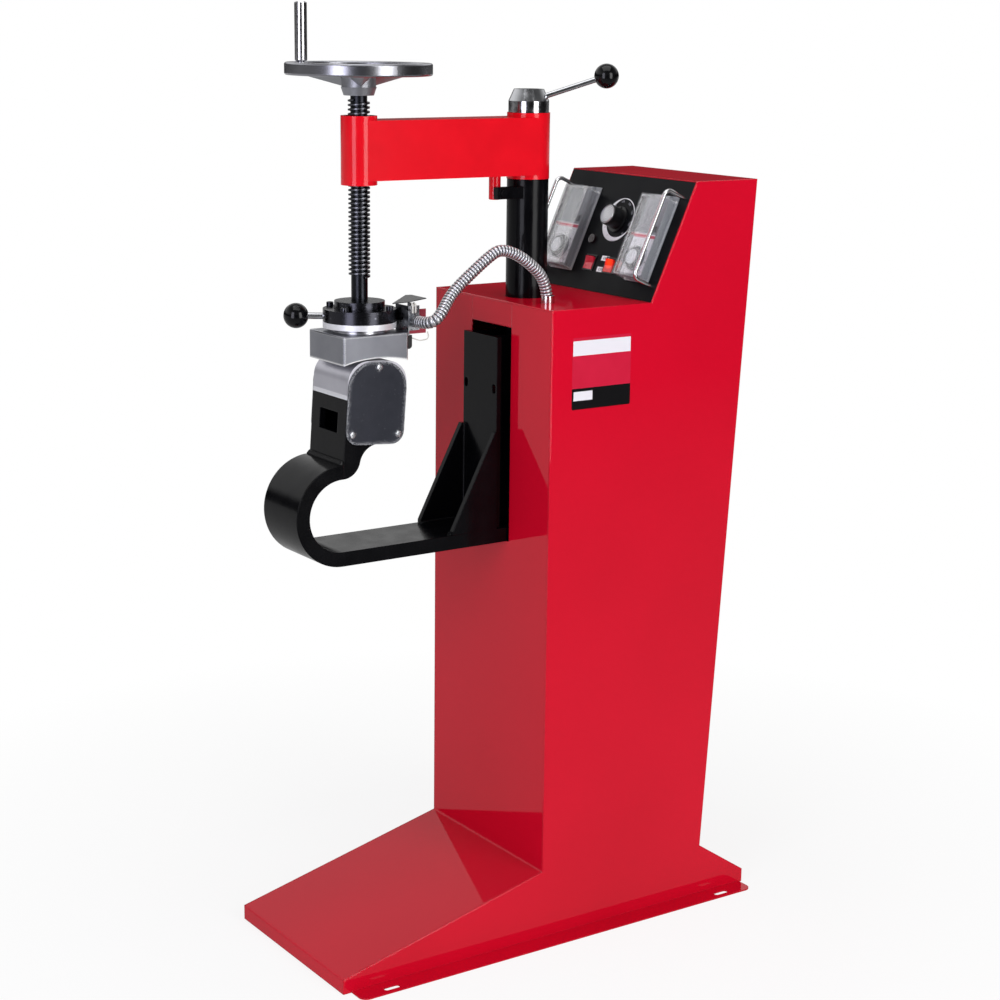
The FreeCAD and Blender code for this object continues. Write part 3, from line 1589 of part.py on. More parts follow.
nodes = {
    "front_sheet": front_sheet,
    "slot_cover": slot_cover,
    "shelf_plate": shelf_plate,
    "console_top": console_top,
    "rear_sheet": rear_sheet,
    "case_screws": case_screws,
    "floor_plate": floor_plate,
    "mains_gland": mains_gland,
    "column": column,
    "bracket_channel": bracket_channel,
    "c_arm_bar": c_arm_bar,
    "lower_post": lower_post,
    "lower_heater": lower_heater,
    "lower_platen": lower_platen,
    "control_panel": control_panel,
    "pilot_lamp": pilot_lamp,
    "temperature_knob": temperature_knob,
    "shelf_ferrule": shelf_ferrule,
    "swing_arm": swing_arm,
    "screw_nut": screw_nut,
    "lock_washer": lock_washer,
    "lock_nut": lock_nut,
    "lock_lever": lock_lever,
    "lock_ball": lock_ball,
    "thrust_housing": thrust_housing,
    "lead_screw": lead_screw,
    "handwheel": handwheel,
    "crank_pin": crank_pin,
    "crank_sleeve": crank_sleeve,
    "clamp_ring": clamp_ring,
    "ring_screws": ring_screws,
    "swivel_plate": swivel_plate,
    "upper_platen": upper_platen,
    "upper_heater": upper_heater,
    "platen_lever": platen_lever,
    "platen_ball": platen_ball,
    "terminal_bracket": terminal_bracket,
    "heat_shield": heat_shield,
    "insulator_plate": insulator_plate,
    "conduit_connector": conduit_connector,
    "lead_wires": lead_wires,
    "conduit_first": conduit_first,
    "conduit_second": conduit_second,
    "conduit_third": conduit_third,
}

handed_nodes = {
    "side_panel": side_panel,
    "side_cover": side_cover,
    "timer_body": timer_body,
    "timer_cover": timer_cover,
    "timer_knob": timer_knob,
    "switch_frame": switch_frame,
    "rocker": rocker,
    "guard_handle": guard_handle,
}

os.makedirs("parts", exist_ok=True)
shapes = {}
for name, make in nodes.items():
    shapes[name] = make()
for name, make in handed_nodes.items():
    shapes[name + "_left"] = make(-1)
    shapes[name + "_right"] = make(1)
for name, shape in shapes.items():
    shape.exportStep("parts/" + name + ".step")
    state = "valid" if shape.isValid() else "invalid"
    print(name, state, "solids", len(shape.Solids), "volume", round(shape.Volume))
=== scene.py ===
import bpy
import math
from mathutils import Matrix, Vector


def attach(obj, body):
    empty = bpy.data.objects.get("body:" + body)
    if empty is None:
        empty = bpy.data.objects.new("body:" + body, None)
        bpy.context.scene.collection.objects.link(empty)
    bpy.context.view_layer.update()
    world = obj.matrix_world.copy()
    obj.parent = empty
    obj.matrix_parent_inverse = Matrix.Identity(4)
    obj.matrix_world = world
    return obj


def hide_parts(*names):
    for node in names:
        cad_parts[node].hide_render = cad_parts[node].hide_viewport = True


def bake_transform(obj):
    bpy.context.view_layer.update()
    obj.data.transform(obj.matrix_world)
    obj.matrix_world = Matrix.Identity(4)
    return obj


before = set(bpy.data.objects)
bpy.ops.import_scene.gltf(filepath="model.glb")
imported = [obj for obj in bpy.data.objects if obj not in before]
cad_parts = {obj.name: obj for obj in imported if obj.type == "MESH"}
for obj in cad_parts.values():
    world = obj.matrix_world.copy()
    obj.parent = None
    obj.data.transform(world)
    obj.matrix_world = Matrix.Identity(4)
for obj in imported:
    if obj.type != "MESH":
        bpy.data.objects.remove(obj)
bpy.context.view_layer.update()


# Cabinet
# Side panels, front sheet, shelf, console top and rear sheet, folded from 2 mm steel and spot welded.
# Sprayed with gloss enamel: a deep even red under a clear gloss, with a faint orange peel.

def linear(code):
    """An sRGB hex colour as linear light."""
    parts = [int(code[i:i + 2], 16) / 255 for i in (1, 3, 5)]
    return [c / 12.92 if c <= 0.04045 else ((c + 0.055) / 1.055) ** 2.4 for c in parts] + [1.0]


def new_finish(name, colour, roughness, metallic=0.0, **surface):
    """A finish whose shader holds the values that are the same all over."""
    made = bpy.data.materials.new(name)
    made.use_nodes = True
    shader = made.node_tree.nodes["Principled BSDF"]
    shader.inputs["Base Color"].default_value = linear(colour)
    shader.inputs["Roughness"].default_value = roughness
    shader.inputs["Metallic"].default_value = metallic
    for socket, value in surface.items():
        shader.inputs[socket.replace("_", " ")].default_value = value
    return made


def add(finish, kind, settings={}, links={}, feeds={}):
    """Add a node with its settings, the outputs that reach its sockets, and the shader sockets it feeds.
    A link names a node, whose first output it takes, or a node and another of its outputs."""
    tree = finish.node_tree
    node = tree.nodes.new("ShaderNode" + kind)
    for name, value in settings.items():
        if isinstance(name, int) or name in node.inputs:
            node.inputs[name].default_value = value
        else:
            setattr(node, name, value)
    for socket, source in links.items():
        source, output = source if isinstance(source, tuple) else (source, 0)
        tree.links.new(source.outputs[output], node.inputs[socket])
    for socket, output in feeds.items():
        tree.links.new(node.outputs[output], tree.nodes["Principled BSDF"].inputs[socket])
    return node


def grain(finish, size, detail, shades=None, gloss=None, relief=None, drawn=None, over=(0.0, 1.0)):
    """Give a finish a grain of a size in metres, finer along each axis by drawn. It may run between two
    shades, run between two roughnesses over a span of the noise, and rise by a height."""
    place = (add(finish, "TexCoord"), "Object")
    if drawn:
        place = add(finish, "Mapping", {"Scale": drawn}, {"Vector": place})
    noise = add(finish, "TexNoise", {"Scale": 1 / size, "Detail": detail}, {"Vector": place})
    if shades:
        add(finish, "Mix", {"data_type": "RGBA", 6: linear(shades[0]), 7: linear(shades[1])}, {0: noise},
            {"Base Color": 2})
    if gloss:
        add(finish, "MapRange", {"From Min": over[0], "From Max": over[1], "To Min": gloss[0], "To Max": gloss[1]},
            {"Value": noise}, {"Roughness": 0})
    if relief:
        add(finish, "Bump", {"Distance": relief, "Strength": 1.0}, {"Height": noise}, {"Normal": "Normal"})
    return noise


def dress(finish, *names):
    """Give CAD nodes their finish."""
    for name in names:
        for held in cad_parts[name].material_slots:
            held.material = finish


red_enamel = new_finish("red_gloss_enamel", "#C00A22", 0.3, Specular_IOR_Level=0.0, Coat_Weight=0.6,
                        Coat_Roughness=0.04)
# The film drifts in depth over hands' breadths.
grain(red_enamel, 0.35, 2.0, shades=("#B60820", "#CC0A28"))
# Orange peel, 5 mm across and a few microns deep.
peel = grain(red_enamel, 0.005, 1.0)
# The folds are rounded to the sheet's thickness and catch the light.
fold = add(red_enamel, "Bevel", {"samples": 4, "Radius": 0.0025})
add(red_enamel, "Bump", {"Distance": 0.000006, "Strength": 1.0}, {"Height": peel, "Normal": fold},
    {"Normal": "Normal", "Coat Normal": "Normal"})
dress(red_enamel, "side_panel_left", "side_panel_right", "front_sheet", "slot_cover", "shelf_plate",
      "console_top", "rear_sheet")


# Label on the right side panel
# A sheet of gloss vinyl stuck to the enamel, printed edge to edge: a white head band, a red field
# and a black foot band with a white box. Its corners are rounded.

label_low, label_high = (0.1501, -0.024, 0.793), (0.1503, 0.079, 0.895)
label_corner = 0.0025
foot_band_top = 0.823
# The head band and the box, each by its middle and half its size along Y, then along Z.
white_patches = [((0.0275, 0.0505), (0.880, 0.0105)), ((-0.0045, 0.0165), (0.812, 0.0065))]


def alone(piece=None):
    """Leave nothing selected, or only one piece, which is then the active one."""
    bpy.ops.object.select_all(action="DESELECT")
    if piece:
        piece.select_set(True)
        bpy.context.view_layer.objects.active = piece


def named(name):
    """The piece just made, under its own name."""
    piece = bpy.context.active_object
    piece.name = name
    return piece


def settle(piece):
    """Put the place, turn and scale of a piece into its mesh."""
    alone(piece)
    bpy.ops.object.transform_apply(location=True, rotation=True, scale=True)


def choose(piece, wanted, kind="FACE"):
    """Open a piece for editing with only the faces selected that are wanted, or the edges by their ends."""
    alone(piece)
    bpy.ops.object.mode_set(mode="EDIT")
    bpy.ops.mesh.select_mode(type=kind)
    bpy.ops.mesh.select_all(action="DESELECT")
    bpy.ops.object.mode_set(mode="OBJECT")
    if kind == "FACE":
        for face in piece.data.polygons:
            face.select = wanted(face)
    else:
        for edge in piece.data.edges:
            edge.select = wanted(*(piece.data.vertices[i].co for i in edge.vertices))
    bpy.ops.object.mode_set(mode="EDIT")


def close_edit():
    """Go back from editing to whole pieces."""
    bpy.ops.object.mode_set(mode="OBJECT")


alone()
label_middle = [(low + high) / 2 for low, high in zip(label_low, label_high)]
bpy.ops.mesh.primitive_cube_add(size=1, location=label_middle)
label = named("side_label")
label.scale = [high - low for low, high in zip(label_low, label_high)]
settle(label)
choose(label, lambda one, other: abs(one.x - other.x) > 0.0001, "EDGE")
bpy.ops.mesh.bevel(offset=label_corner, segments=4)
close_edit()
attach(label, "root")

label_vinyl = new_finish("printed_gloss_vinyl", "#B81226", 0.25, Specular_IOR_Level=0.2)
axes = add(label_vinyl, "SeparateXYZ", {}, {"Vector": (add(label_vinyl, "TexCoord"), "Object")})
patches = []
for (side_middle, side_half), (rise_middle, rise_half) in white_patches:
    beside = add(label_vinyl, "Math", {"operation": "COMPARE", 1: side_middle, 2: side_half}, {0: (axes, "Y")})
    level = add(label_vinyl, "Math", {"operation": "COMPARE", 1: rise_middle, 2: rise_half}, {0: (axes, "Z")})
    patches.append(add(label_vinyl, "Math", {"operation": "MULTIPLY"}, {0: level, 1: beside}))
white_parts = add(label_vinyl, "Math", {"operation": "MAXIMUM"}, {0: patches[0], 1: patches[1]})
foot_band = add(label_vinyl, "Math", {"operation": "LESS_THAN", 1: foot_band_top}, {0: (axes, "Z")})
# The red ink lies a little uneven, over 30 mm.
ink_drift = grain(label_vinyl, 0.03, 2.0)
field = add(label_vinyl, "Mix", {"data_type": "RGBA", 6: linear("#B81432"), 7: linear("#C41A3A")}, {0: ink_drift})
with_foot = add(label_vinyl, "Mix", {"data_type": "RGBA", 7: linear("#0D0C0E")}, {0: foot_band, 6: (field, 2)})
add(label_vinyl, "Mix", {"data_type": "RGBA", 7: linear("#D9D6DC")}, {0: white_parts, 6: (with_foot, 2)},
    {"Base Color": 2})
label.data.materials.append(label_vinyl)


# Floor plate and cable gland
# The plate under the column is cut from 6 mm steel and powder coated black, glossy with a fine ripple.
# The gland for the mains lead is moulded nylon, dull black, screwed into the rear sheet.

black_powder = new_finish("gloss_black_powder_coat", "#08080A", 0.34, Specular_IOR_Level=0.07, Coat_Weight=0.1,
                          Coat_Roughness=0.08)
# Powder flows out in a ripple 2 mm across, and lies uneven over larger patches.
ripple = grain(black_powder, 0.002, 2.0)
flow_and_streak_noise = grain(black_powder, 0.03, 3.0, shades=("#040405", "#09090C"), gloss=(0.15, 0.27), over=(0.3, 0.7))
# The coat draws back from sheared edges and rounds them, and they glint.
soft_edge = add(black_powder, "Bevel", {"samples": 4, "Radius": 0.0018})
broad = add(black_powder, "Bump", {"Distance": 0.00025, "Strength": 1.0}, {"Height": flow_and_streak_noise, "Normal": soft_edge})
add(black_powder, "Bump", {"Distance": 0.00005, "Strength": 1.0}, {"Height": ripple, "Normal": broad},
    {"Normal": "Normal", "Coat Normal": "Normal"})
dress(black_powder, "floor_plate")

gland_nylon = new_finish("moulded_black_nylon", "#161617", 0.5)
# The mould's etched face leaves a fine sparkle.
grain(gland_nylon, 0.0006, 2.0, gloss=(0.42, 0.58), relief=0.00001)
dress(gland_nylon, "mains_gland")


# Column, bracket, C-arm and post
# Tube, channel, gussets and one bent flat bar, arc welded together and powder coated in one piece.
# The beads stay as they were laid: overlapping ripples that the coat softens.

dress(black_powder, "column", "bracket_channel", "c_arm_bar", "lower_post")

bead_pitch = 0.0026
gusset_inner_x = 0.0395
bracket_face_y = -0.079
gusset_tip_y = -0.155
gusset_top_z = 0.7495
bar_top_z = 0.6065
curl_top_z = 0.730
post_foot_y = -0.3342
foot_bead_half = 0.046
foot_bead_leg = 0.0088
foot_bead_sunk = 0.0025
gusset_bead_leg = 0.0042


def weld_bead(name, start, end, leg):
    """A fillet bead between two points, laid as a row of ripples a pitch apart."""
    start, end = Vector(start), Vector(end)
    run = end - start
    alone()
    bpy.ops.mesh.primitive_cylinder_add(vertices=12, radius=leg, depth=bead_pitch * 1.5)
    bead = named(name)
    bpy.ops.object.mode_set(mode="EDIT")
    bpy.ops.mesh.select_mode(type="EDGE")
    bpy.ops.mesh.select_all(action="DESELECT")
    bpy.ops.mesh.edges_select_sharp(sharpness=math.radians(60))
    bpy.ops.mesh.bevel(offset=leg * 0.22, segments=2)
    close_edit()
    row = bead.modifiers.new("row", "ARRAY")
    row.count = round(run.length / bead_pitch)
    row.use_relative_offset = False
    row.use_constant_offset = True
    row.constant_offset_displace = (0, 0, run.length / row.count)
    bpy.ops.object.modifier_apply(modifier="row")
    bpy.ops.object.shade_smooth_by_angle(angle=math.radians(40))
    bead.rotation_mode = "QUATERNION"
    bead.rotation_quaternion = run.to_track_quat("Z", "Y")
    bead.location = start
    settle(bead)
    bead.data.materials.append(black_powder)
    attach(bead, "root")


foot_bead_y, foot_bead_z = post_foot_y + foot_bead_sunk, curl_top_z - foot_bead_sunk
weld_bead("weld_post_foot", (-foot_bead_half, foot_bead_y, foot_bead_z), (foot_bead_half, foot_bead_y, foot_bead_z),
          foot_bead_leg)
for side, x in (("left", -gusset_inner_x), ("right", gusset_inner_x)):
    corner = (x, bracket_face_y, bar_top_z)
    weld_bead(f"weld_gusset_foot_{side}", (x, gusset_tip_y, bar_top_z), corner, gusset_bead_leg)
    weld_bead(f"weld_gusset_back_{side}", corner, (x, bracket_face_y, gusset_top_z), gusset_bead_leg)


# Lower press tool
# A heater plate sawn from aluminium, bright and lined, and a crowned platen sanded along its crown.
# Two dark painted covers, their edges chipped to specks of bare metal, close the heater's sides.

def edge_turn(finish, radius, samples=8):
    """How far a face still looks the way of its edges rounded to a radius: 1 on the flat, less by an edge."""
    rounded = add(finish, "Bevel", {"samples": samples, "Radius": radius})
    flat = add(finish, "NewGeometry")
    return add(finish, "VectorMath", {"operation": "DOT_PRODUCT"}, {0: rounded, 1: (flat, "Normal")}), "Value"


sanded_aluminium = new_finish("sanded_aluminium", "#C4C3CA", 0.4, metallic=0.85)
# The belt leaves scratches along the crown, drawn 1 mm apart so that they show.
grain(sanded_aluminium, 0.001, 3.0, gloss=(0.34, 0.5), relief=0.00002, drawn=(0.15, 1, 1))
grain(sanded_aluminium, 0.03, 3.0, shades=("#B9B8C0", "#D4D3DA"))
dress(sanded_aluminium, "lower_platen")

sawn_plate = new_finish("bright_sawn_aluminium", "#D6D6DA", 0.46, metallic=0.6)
# The saw leaves lines 0.3 mm apart across the bright plate.
grain(sawn_plate, 0.008, 2.0, shades=("#D4D4D9", "#F6F6F8"), relief=0.00002, drawn=(1, 1, 30))
dress(sawn_plate, "lower_heater")

cover_paint = new_finish("chipped_dark_grey_paint", "#292B32", 0.3, Specular_IOR_Level=0.2)
# The dark paint is a little cloudy, 20 mm across.
cloud = grain(cover_paint, 0.02, 4.0, gloss=(0.27, 0.33))
paint = add(cover_paint, "Mix", {"data_type": "RGBA", 6: linear("#1C1E25"), 7: linear("#2C2E36")}, {0: cloud})
# Chips are 1 to 2 mm across and crowd within 5 mm of the edge; the edge itself is bare.
near_edge = add(cover_paint, "MapRange", {"From Min": 1.0, "From Max": 0.75},
                {"Value": edge_turn(cover_paint, 0.009)})
grit = grain(cover_paint, 0.0014, 2.0)
reach = add(cover_paint, "Math", {"operation": "MULTIPLY_ADD", 1: 0.28, 2: -0.03}, {0: near_edge})
chance = add(cover_paint, "Math", {"operation": "ADD"}, {0: grit, 1: reach})
chip = add(cover_paint, "MapRange", {"From Min": 0.71, "From Max": 0.75}, {"Value": chance})
add(cover_paint, "Mix", {"data_type": "RGBA", 7: linear("#A8A9AE")}, {0: chip, 6: (paint, 2)}, {"Base Color": 2})
add(cover_paint, "Math", {"operation": "MULTIPLY", 1: 0.9}, {0: chip}, {"Metallic": 0})
add(cover_paint, "Bump", {"Distance": 0.0001, "Strength": 0.6, "invert": True}, {"Height": chip},
    {"Normal": "Normal"})
dress(cover_paint, "side_cover_left", "side_cover_right")


# Screws of the covers and the rear sheet
# M4 pan-head screws, zinc plated: a domed bright head with a cross recess.
# Three hold each side cover and six hold the rear sheet.

head_radius = 0.0045
head_rise = 0.0025
head_crown = 0.0013
cross_arm = 0.0028
cross_width = 0.0009
cross_depth = 0.0014
cover_screws = [(0.0495, -0.27818, 0.86114), (0.0495, -0.32129, 0.77073), (0.0495, -0.24807, 0.76561)]
rear_screws = [(0.136, 0.24571, 0.17), (0.136, 0.27044, 0.56), (0.136, 0.29517, 0.95)]
rear_way = Vector((0, 0.998, -0.0633))


def cut_out(piece, cutter):
    """Take the cutter's shape out of the piece, and the cutter away."""
    cut = piece.modifiers.new("cut", "BOOLEAN")
    cut.operation = "DIFFERENCE"
    cut.object = cutter
    cut.solver = "EXACT"
    bpy.context.view_layer.objects.active = piece
    bpy.ops.object.modifier_apply(modifier="cut")
    bpy.data.objects.remove(cutter)


def repeated(piece, spots, name):
    """Copies of a piece at each place, each from its own mesh, joined into one; the first is taken away."""
    alone()
    for spot in spots:
        copy = piece.copy()
        copy.data = piece.data.copy()
        copy.data.transform(spot)
        bpy.context.scene.collection.objects.link(copy)
        copy.select_set(True)
        bpy.context.view_layer.objects.active = copy
    bpy.data.objects.remove(piece)
    bpy.ops.object.join()
    return named(name)


def facing(place, way):
    """The turn and shift that stand a piece on a place, with its top along a direction."""
    return Matrix.Translation(place) @ Vector(way).to_track_quat("Z", "Y").to_matrix().to_4x4()


alone()
bpy.ops.mesh.primitive_cylinder_add(vertices=32, radius=head_radius, depth=head_rise, location=(0, 0, head_rise / 2))
pan_head = named("pan_head")
settle(pan_head)
choose(pan_head, lambda face: face.normal.z > 0.9)
bpy.ops.mesh.bevel(offset=head_crown, segments=4)
close_edit()
for name, long, wide in (("cross", cross_arm * 2, cross_width), ("other_arm", cross_width, cross_arm * 2)):
    alone()
    bpy.ops.mesh.primitive_cube_add(size=1, location=(0, 0, head_rise), scale=(long, wide, cross_depth * 2))
    cut_out(pan_head, named(name))
alone(pan_head)
bpy.ops.object.shade_smooth_by_angle(angle=math.radians(30))
screw_spots = [facing((x * side, y, z), (side, 0, 0)) for side in (-1, 1) for x, y, z in cover_screws]
screw_spots += [facing((x * side, y, z), rear_way) for side in (-1, 1) for x, y, z in rear_screws]
case_screw_heads = repeated(pan_head, screw_spots, "case_screw_heads")
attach(case_screw_heads, "root")
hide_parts("case_screws")

zinc_plate = new_finish("bright_zinc_plate", "#C9CBCE", 0.25, metallic=1.0)
# The zinc dulls in small blooms, 2 mm across.
grain(zinc_plate, 0.002, 3.0, shades=("#B3B5B9", "#DCDDE0"), gloss=(0.18, 0.36))
case_screw_heads.data.materials.append(zinc_plate)


# Swing arm and its nut
# A casting with a boss at each end, fettled, filled and sprayed red: glossy, with soft waves of the filler.
# The nut for the hand screw is turned steel, pressed into the front boss.

arm_paint = new_finish("red_gloss_paint_on_casting", "#D20A14", 0.2, Specular_IOR_Level=0.15, Coat_Weight=0.3,
                       Coat_Roughness=0.06)
# The filler lies in waves 50 mm across, and the sand's grain shows through, 3 mm across.
wave = grain(arm_paint, 0.05, 2.0, shades=("#C80818", "#DE0C1E"))
sand = grain(arm_paint, 0.003, 2.0)
soft = add(arm_paint, "Bump", {"Distance": 0.00015, "Strength": 1.0}, {"Height": wave})
add(arm_paint, "Bump", {"Distance": 0.00002, "Strength": 1.0}, {"Height": sand, "Normal": soft},
    {"Normal": "Normal", "Coat Normal": "Normal"})
dress(arm_paint, "swing_arm")

turned_steel = new_finish("turned_steel", "#8A8B8F", 0.28, metallic=1.0)
# The tool leaves rings round the axis, drawn 0.6 mm apart.
grain(turned_steel, 0.007, 2.0, shades=("#74757A", "#A0A1A5"), relief=0.00002, drawn=(1, 1, 12))
dress(turned_steel, "screw_nut", "crank_pin")


# Lock nut, washer, levers and balls
# The nut and levers are turned from bar and polished, with a few dull handling marks.
# The balls are moulded from black phenolic on the levers' threads, smooth and very glossy.

polished_steel = new_finish("polished_steel", "#B9BABE", 0.14, metallic=1.0)
# Handling leaves duller patches, 15 mm across.
grain(polished_steel, 0.015, 4.0, shades=("#A9AAAE", "#C9CACD"), gloss=(0.08, 0.24), over=(0.35, 0.7))
dress(polished_steel, "lock_nut", "lock_washer", "lock_lever", "platen_lever")

phenolic = new_finish("moulded_black_phenolic", "#040405", 0.2, Specular_IOR_Level=0.2, Coat_Weight=0.15,
                      Coat_Roughness=0.05)
# The resin's flow clouds the gloss a little, 10 mm across.
grain(phenolic, 0.01, 2.0, shades=("#040405", "#09090B"), gloss=(0.12, 0.24))
dress(phenolic, "lock_ball", "platen_ball")


# Hand screw
# A rolled trapezoidal screw, blackened in hot oxide and oiled: near black, with worn grey crests.

screw_axis = (0, -0.28, 0)
flank_radius, crest_radius = 0.0142, 0.0149


def from_screw(finish):
    """How far each place lies from the screw's axis."""
    aside = add(finish, "VectorMath", {"operation": "SUBTRACT", 1: screw_axis},
                {0: (add(finish, "TexCoord"), "Object")})
    across = add(finish, "VectorMath", {"operation": "MULTIPLY", 1: (1, 1, 0)}, {0: aside})
    return add(finish, "VectorMath", {"operation": "LENGTH"}, {0: across}), "Value"


oiled_oxide = new_finish("oiled_black_oxide", "#2B2C30", 0.28, metallic=1.0)
# Use rubs the crests grey in patches and leaves the flanks black.
rub = grain(oiled_oxide, 0.01, 4.0, gloss=(0.2, 0.42))
crest = add(oiled_oxide, "MapRange", {"From Min": flank_radius, "From Max": crest_radius},
            {"Value": from_screw(oiled_oxide)})
polish = add(oiled_oxide, "Math", {"operation": "MULTIPLY"}, {0: crest, 1: rub})
add(oiled_oxide, "Mix", {"data_type": "RGBA", 6: linear("#28292D"), 7: linear("#7C7D83")}, {0: polish},
    {"Base Color": 2})
dress(oiled_oxide, "lead_screw")


# Handwheel and its crank
# Cast aluminium: hub and spokes keep the fine grain of the sand, the rim is turned and polished.
# The crank's sleeve is steel, turned, plated bright, and loose on its pin.

spoke_reach, rim_start = 0.0845, 0.0855

wheel_metal = new_finish("cast_aluminium_with_polished_rim", "#A4A5AA", 0.3, metallic=1.0)
cast_part = add(wheel_metal, "MapRange", {"From Min": rim_start, "From Max": spoke_reach},
                {"Value": from_screw(wheel_metal)})
# Sand grains, 1.2 mm as they show through the shot-blasting.
sand = grain(wheel_metal, 0.0012, 3.0)
cast_shade = add(wheel_metal, "Mix", {"data_type": "RGBA", 6: linear("#86878D"), 7: linear("#ACADB2")}, {0: sand})
rim_shade = add(wheel_metal, "Mix", {"data_type": "RGBA", 6: linear("#8C8C92"), 7: linear("#A2A2A8")},
                {0: grain(wheel_metal, 0.02, 3.0)})
add(wheel_metal, "Mix", {"data_type": "RGBA"}, {0: cast_part, 6: (rim_shade, 2), 7: (cast_shade, 2)},
    {"Base Color": 2})
add(wheel_metal, "MapRange", {"To Min": 0.26, "To Max": 0.44}, {"Value": cast_part}, {"Roughness": 0})
add(wheel_metal, "Bump", {"Distance": 0.00012}, {"Height": sand, "Strength": cast_part}, {"Normal": "Normal"})
dress(wheel_metal, "handwheel")

bright_plating = new_finish("bright_nickel_plate", "#C7C6C8", 0.1, metallic=1.0)
# Turning rings show through the plate, drawn 0.6 mm apart.
grain(bright_plating, 0.01, 2.0, shades=("#C9C8CB", "#DEDDDF"), gloss=(0.14, 0.26), drawn=(1, 1, 16))
dress(bright_plating, "crank_sleeve", "guard_handle_left", "guard_handle_right", "shelf_ferrule")


# Press head
# The screw turns in a flanged housing under a clamp ring, both blackened steel. The ring holds the
# bright swivel plate on the upper platen, a block milled from aluminium and hollowed to the lower one's
# crown: satin grey, stained by heat, with bright edges that are partly worn and partly a painted highlight.

milled_aluminium = new_finish("milled_aluminium", "#8E8F96", 0.36, metallic=1.0)
# Cutter marks run along the faces, drawn 0.9 mm apart so that they show.
grain(milled_aluminium, 0.012, 3.0, gloss=(0.24, 0.38), relief=0.00002, drawn=(1, 1, 14))
stain = grain(milled_aluminium, 0.04, 4.0)
base_shade = add(milled_aluminium, "Mix", {"data_type": "RGBA", 6: linear("#7B7C84"), 7: linear("#9D9EA5")},
                 {0: stain})
# Near the edges the colour is painted near white: partly wear, partly a painted highlight on the rounded edges.
worn_edge_and_highlight = add(milled_aluminium, "MapRange", {"From Min": 0.97, "From Max": 0.86},
           {"Value": edge_turn(milled_aluminium, 0.006)})
add(milled_aluminium, "Mix", {"data_type": "RGBA", 7: linear("#F4F4F6")}, {0: worn_edge_and_highlight, 6: (base_shade, 2)},
    {"Base Color": 2})
dress(milled_aluminium, "upper_platen")
dress(sawn_plate, "swivel_plate")

ring_black = new_finish("blackened_turned_steel", "#3A3A40", 0.2, metallic=1.0)
grain(ring_black, 0.008, 2.0, gloss=(0.16, 0.34), relief=0.00002, drawn=(1, 1, 14))
# Handling rubs the black through in patches.
bare = add(ring_black, "MapRange", {"From Min": 0.62, "From Max": 0.75}, {"Value": grain(ring_black, 0.006, 5.0)})
add(ring_black, "Mix", {"data_type": "RGBA", 6: linear("#36363B"), 7: linear("#6E6F76")}, {0: bare},
    {"Base Color": 2})
dress(ring_black, "clamp_ring", "thrust_housing")


# Screws of the clamp ring
# Four M6 socket-head cap screws, black oxide, each with a hexagon socket and a chamfered rim.

cap_radius = 0.005
cap_rise = 0.006
cap_chamfer = 0.0006
knurl_depth = 0.0002
socket_radius = 0.0029
socket_depth = 0.003
ring_screws = [(0.03858, -0.25495, 0.937), (-0.02505, -0.24142, 0.937),
               (-0.03858, -0.30505, 0.937), (0.02505, -0.31858, 0.937)]

alone()
bpy.ops.mesh.primitive_cylinder_add(vertices=48, radius=cap_radius, depth=cap_rise, location=(0, 0, cap_rise / 2))
cap_screw = named("cap_screw")
settle(cap_screw)
choose(cap_screw, lambda face: face.normal.z > 0.9)
bpy.ops.mesh.bevel(offset=cap_chamfer, segments=2)
close_edit()
# The rim is knurled: every other facet is pushed in.
choose(cap_screw, lambda face: abs(face.normal.z) < 0.1 and face.area > 0.000002 and face.index % 2 == 0)
bpy.ops.mesh.inset(thickness=0.00012, depth=-knurl_depth, use_individual=True)
close_edit()
alone()
bpy.ops.mesh.primitive_cylinder_add(vertices=6, radius=socket_radius, depth=socket_depth * 2,
                                    location=(0, 0, cap_rise))
cut_out(cap_screw, named("socket"))
cap_screws = repeated(cap_screw, [Matrix.Translation(spot) for spot in ring_screws], "ring_cap_screws")
bpy.ops.object.shade_smooth_by_angle(angle=math.radians(30))
cap_screws.data.materials.append(ring_black)
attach(cap_screws, "platen")
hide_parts("ring_screws")


# Heater and its fittings on the upper platen
# A cartridge heater in a black rubber boot, a galvanised angle that carries the connector, a dark red
# laminate insulator, a black heat shield above, and leads in pale woven glass sleeve.

boot_rubber = new_finish("black_silicone_rubber", "#0C0C0D", 0.55)
# A bloom of dust greys the rubber, 3 mm across.
grain(boot_rubber, 0.003, 4.0, shades=("#09090A", "#18181A"))
dress(boot_rubber, "upper_heater")

shield_black = new_finish("black_painted_sheet", "#1C1D1F", 0.45, Coat_Weight=0.1)
# The spray lies in a fine pebble, 1.5 mm across.
grain(shield_black, 0.0015, 2.0, shades=("#151618", "#2B2C2F"), relief=0.00003)
dress(shield_black, "heat_shield")

galvanised = new_finish("galvanised_sheet", "#9A9CA0", 0.34, metallic=1.0)
# The zinc freezes in flakes, 5 mm across.
flakes = add(galvanised, "TexVoronoi", {"Scale": 1 / 0.005, "Randomness": 1.0},
             {"Vector": (add(galvanised, "TexCoord"), "Object")})
tone = add(galvanised, "SeparateColor", {}, {"Color": (flakes, "Color")})
add(galvanised, "Mix", {"data_type": "RGBA", 6: linear("#7B7D82"), 7: linear("#B3B5B9")}, {0: (tone, "Red")},
    {"Base Color": 2})
add(galvanised, "MapRange", {"To Min": 0.24, "To Max": 0.46}, {"Value": (tone, "Green")}, {"Roughness": 0})
dress(galvanised, "terminal_bracket", "conduit_connector")

laminate = new_finish("dark_red_phenolic_laminate", "#8A1028", 0.38)
# Resin pools between the fibres, 3 mm across.
grain(laminate, 0.003, 4.0, shades=("#7A0C22", "#9E1632"))
dress(laminate, "insulator_plate")

glass_sleeve = new_finish("woven_glass_sleeve", "#CFCDC6", 0.7, Sheen_Weight=0.2)
